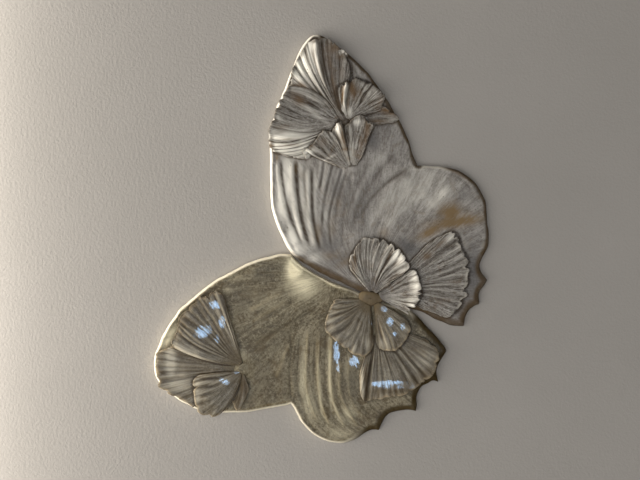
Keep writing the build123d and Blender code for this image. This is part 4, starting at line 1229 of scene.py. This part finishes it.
olive_slab = glaze("olive_slab_glaze", OLIVE_TONES, (0.32, 0.46), grain=0.95, speck=0.3, dashes=0.25,
                   unbroken=0.85, sheen=0.03, patches=0.75)
olive_leaf = glaze("olive_leaf_glaze", OLIVE_LEAF_TONES, (0.26, 0.4), grain=0.6, speck=0.35, dashes=0.7,
                   unbroken=0.1, sheen=0.03, patches=0.4)


def clay_material(name):
    """Make bare fired stoneware: warm tan, grainy, with darker iron spots."""
    material, tree, here = new_material(name)
    grain = noise(tree, here, 500.0, 4.0, 0.7)
    patch = noise(tree, here, 60.0, 5.0)
    colour = blend(tree, spread(tree, grain, 0.35, 0.7), CLAY, rgba(0.44, 0.35, 0.26))
    colour = blend(tree, spread(tree, patch, 0.4, 0.65, 0.0, 0.6), colour, rgba(0.24, 0.17, 0.115))
    use_surface(tree, new_node(tree, "ShaderNodeBsdfPrincipled", {
        "Base Color": colour, "Roughness": spread(tree, patch, 0.3, 0.7, 0.75, 0.9),
        "Normal": bumped(tree, grain, 0.6, 0.0005)}))
    return material


bare_clay = clay_material("bare_stoneware")
pad_clay = glaze("hub_pad_glaze", PAD_TONES, (0.5, 0.7))

wing("white_wing", WHITE_OUTLINE, white_surface, white_slab).name = "white_wing_slab"
wing("olive_wing", OLIVE_OUTLINE, olive_surface, olive_slab).name = "olive_wing_slab"
for fan_name, sizes in FANS.items():
    is_white = fan_name in WHITE_FANS
    fan(fan_name + "_leaf", [fan_name], white_leaf if is_white else olive_leaf,
        "white_fan_glaze" if is_white else "olive_fan_glaze", **sizes)
for scrap_name, sizes in SCRAPS.items():
    fan(scrap_name, [], white_leaf, "white_fan_glaze", **sizes)
hub_pad(pad_clay)

for node_name, cad_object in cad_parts.items():
    if node_name.endswith("nail_ring"):
        cad_object.data.materials.clear()
        cad_object.data.materials.append(bare_clay)


# The room behind everything: its tone, how bright it looks, and how much light it gives
ROOM_TONE = rgba(1.0, 0.97, 0.93)
ROOM_SEEN = 0.5
ROOM_LIGHT = 0.1
# The wall lies just behind the ornament, and the floor well below it.
WALL_LEFT, WALL_RIGHT, WALL_Y, WALL_TOP = -0.5, 1.5, 0.0002, 1.3
FLOOR_LEFT, FLOOR_RIGHT, FLOOR_FRONT, FLOOR_Z = -1.5, 1.5, -2.6, -1.1


def wall_material():
    """Make painted plaster with roller stipple, seen only from its front."""
    material, tree, here = new_material("painted_wall")
    stipple = noise(tree, here, 330.0, 3.0, 0.6)
    tone = noise(tree, here, 3.0, 3.0)
    colour = blend(tree, spread(tree, tone, 0.3, 0.7), rgba(0.36, 0.34, 0.315), rgba(0.385, 0.363, 0.338))
    shader = new_node(tree, "ShaderNodeBsdfPrincipled", {
        "Base Color": colour, "Roughness": 0.8, "Specular IOR Level": 0.05,
        "Normal": bumped(tree, stipple, 0.6, 0.0007)})
    use_surface(tree, shader, one_sided=True)
    return material


def floor_material():
    """Make a plain floor in the room's tone, seen only from above."""
    material, tree, here = new_material("pale_floor")
    colour = blend(tree, noise(tree, here, 2.0), rgba(0.66, 0.64, 0.61), rgba(0.70, 0.68, 0.65))
    lit = new_node(tree, "ShaderNodeBsdfPrincipled", {"Base Color": colour, "Roughness": 0.9})
    pale = new_node(tree, "ShaderNodeEmission", {"Color": ROOM_TONE, "Strength": ROOM_SEEN})
    floor = new_node(tree, "ShaderNodeMixShader", {
        0: seen_rays(tree), 1: lit.outputs[0], 2: pale.outputs[0]})
    use_surface(tree, floor, one_sided=True)
    return material


def seen_rays(tree):
    """Return 1 for the rays that show the room: the camera's, reflected ones and those through glass."""
    rays = new_node(tree, "ShaderNodeLightPath").outputs
    seen = math_node(tree, "ADD", rays["Is Camera Ray"], rays["Is Glossy Ray"])
    return math_node(tree, "ADD", seen, rays["Is Transmission Ray"])


def plane(name, corners, material):
    """Make a four-cornered backdrop that casts no shadow and no bounced light."""
    mesh = bpy.data.meshes.new(name)
    mesh.from_pydata(corners, [], [(0, 1, 2, 3)])
    mesh.materials.append(material)
    made = bpy.data.objects.new(name, mesh)
    bpy.context.scene.collection.objects.link(made)
    made.visible_shadow = False
    made.visible_diffuse = False


plane("wall", [(WALL_LEFT, WALL_Y, FLOOR_Z), (WALL_RIGHT, WALL_Y, FLOOR_Z),
               (WALL_RIGHT, WALL_Y, WALL_TOP), (WALL_LEFT, WALL_Y, WALL_TOP)], wall_material())
plane("floor", [(FLOOR_LEFT, FLOOR_FRONT, FLOOR_Z), (FLOOR_RIGHT, FLOOR_FRONT, FLOOR_Z),
                (FLOOR_RIGHT, 0.0, FLOOR_Z), (FLOOR_LEFT, 0.0, FLOOR_Z)], floor_material())


def area_light(name, place_at, aim, size, power, colour):
    """Add a rectangular lamp in watts at a place, aimed at another, that the camera doesn't see."""
    data = bpy.data.lights.new(name, "AREA")
    data.shape = "RECTANGLE"
    data.size, data.size_y = size
    data.energy = power
    data.color = colour
    lamp = bpy.data.objects.new(name, data)
    lamp.location = place_at
    lamp.rotation_euler = (Vector(aim) - Vector(place_at)).to_track_quat("-Z", "Y").to_euler()
    lamp.visible_camera = False
    bpy.context.scene.collection.objects.link(lamp)
    return lamp


view_x, view_z = place(*CENTRE, SLAB_WIDEST)
middle = (view_x, 0, view_z)
WARM = (1.0, 0.94, 0.85)
# Strips of daylight graze the wall from the left, and soft windows light it from the left and the front.
area_light("side_window", (-0.545, -0.038, view_z), (view_x, -0.038, view_z), (0.06, 1.4), 6.0, WARM)
area_light("far_side_window", (-0.95, -0.05, view_z), (view_x, -0.03, view_z), (0.08, 1.6), 5.0, WARM)
area_light("left_window", (view_x - 1.5, -1.3, view_z - 0.4), middle, (1.2, 1.2), 9.3, (1.0, 0.96, 0.90))
front_window = area_light("front_window", (view_x - 0.3, -1.9, view_z - 0.3), middle, (1.6, 1.6), 22.0,
                          (1.0, 0.98, 0.95))
front_window.visible_glossy = False
# A blue window shows only in the glossy glaze, and a lamp from behind lights the back views.
sky_window = area_light("sky_window", (-0.02, -1.6, 0), (-0.02, 0, 0), (1.25, 1.8), 75.0, (0.40, 0.66, 1.0))
sky_window.visible_diffuse = False
area_light("back_fill", (0.6, 1.8, 0.6), (0, 0, 0), (1.5, 1.5), 14, (1.0, 0.97, 0.94))

world = bpy.data.worlds.new("room")
bpy.context.scene.world = world
world.use_nodes = True
room = world.node_tree
background = room.nodes["Background"]
background.inputs["Color"].default_value = ROOM_TONE
strength = new_node(room, "ShaderNodeMapRange", {
    "Value": seen_rays(room), "To Min": ROOM_LIGHT, "To Max": ROOM_SEEN})
room.links.new(strength.outputs[0], background.inputs["Strength"])

camera_data = bpy.data.cameras.new("camera")
camera_data.sensor_width = SENSOR_WIDTH
camera_data.lens = SENSOR_WIDTH * CAMERA_DISTANCE / (PHOTO_WIDTH * PIXEL)
camera = bpy.data.objects.new("camera", camera_data)
camera.location = (view_x, -CAMERA_DISTANCE - SLAB_WIDEST * MM, view_z)
camera.rotation_euler = (math.pi / 2, 0, 0)
bpy.context.scene.collection.objects.link(camera)
bpy.context.scene.camera = camera
bpy.context.scene.view_settings.view_transform = "Standard"
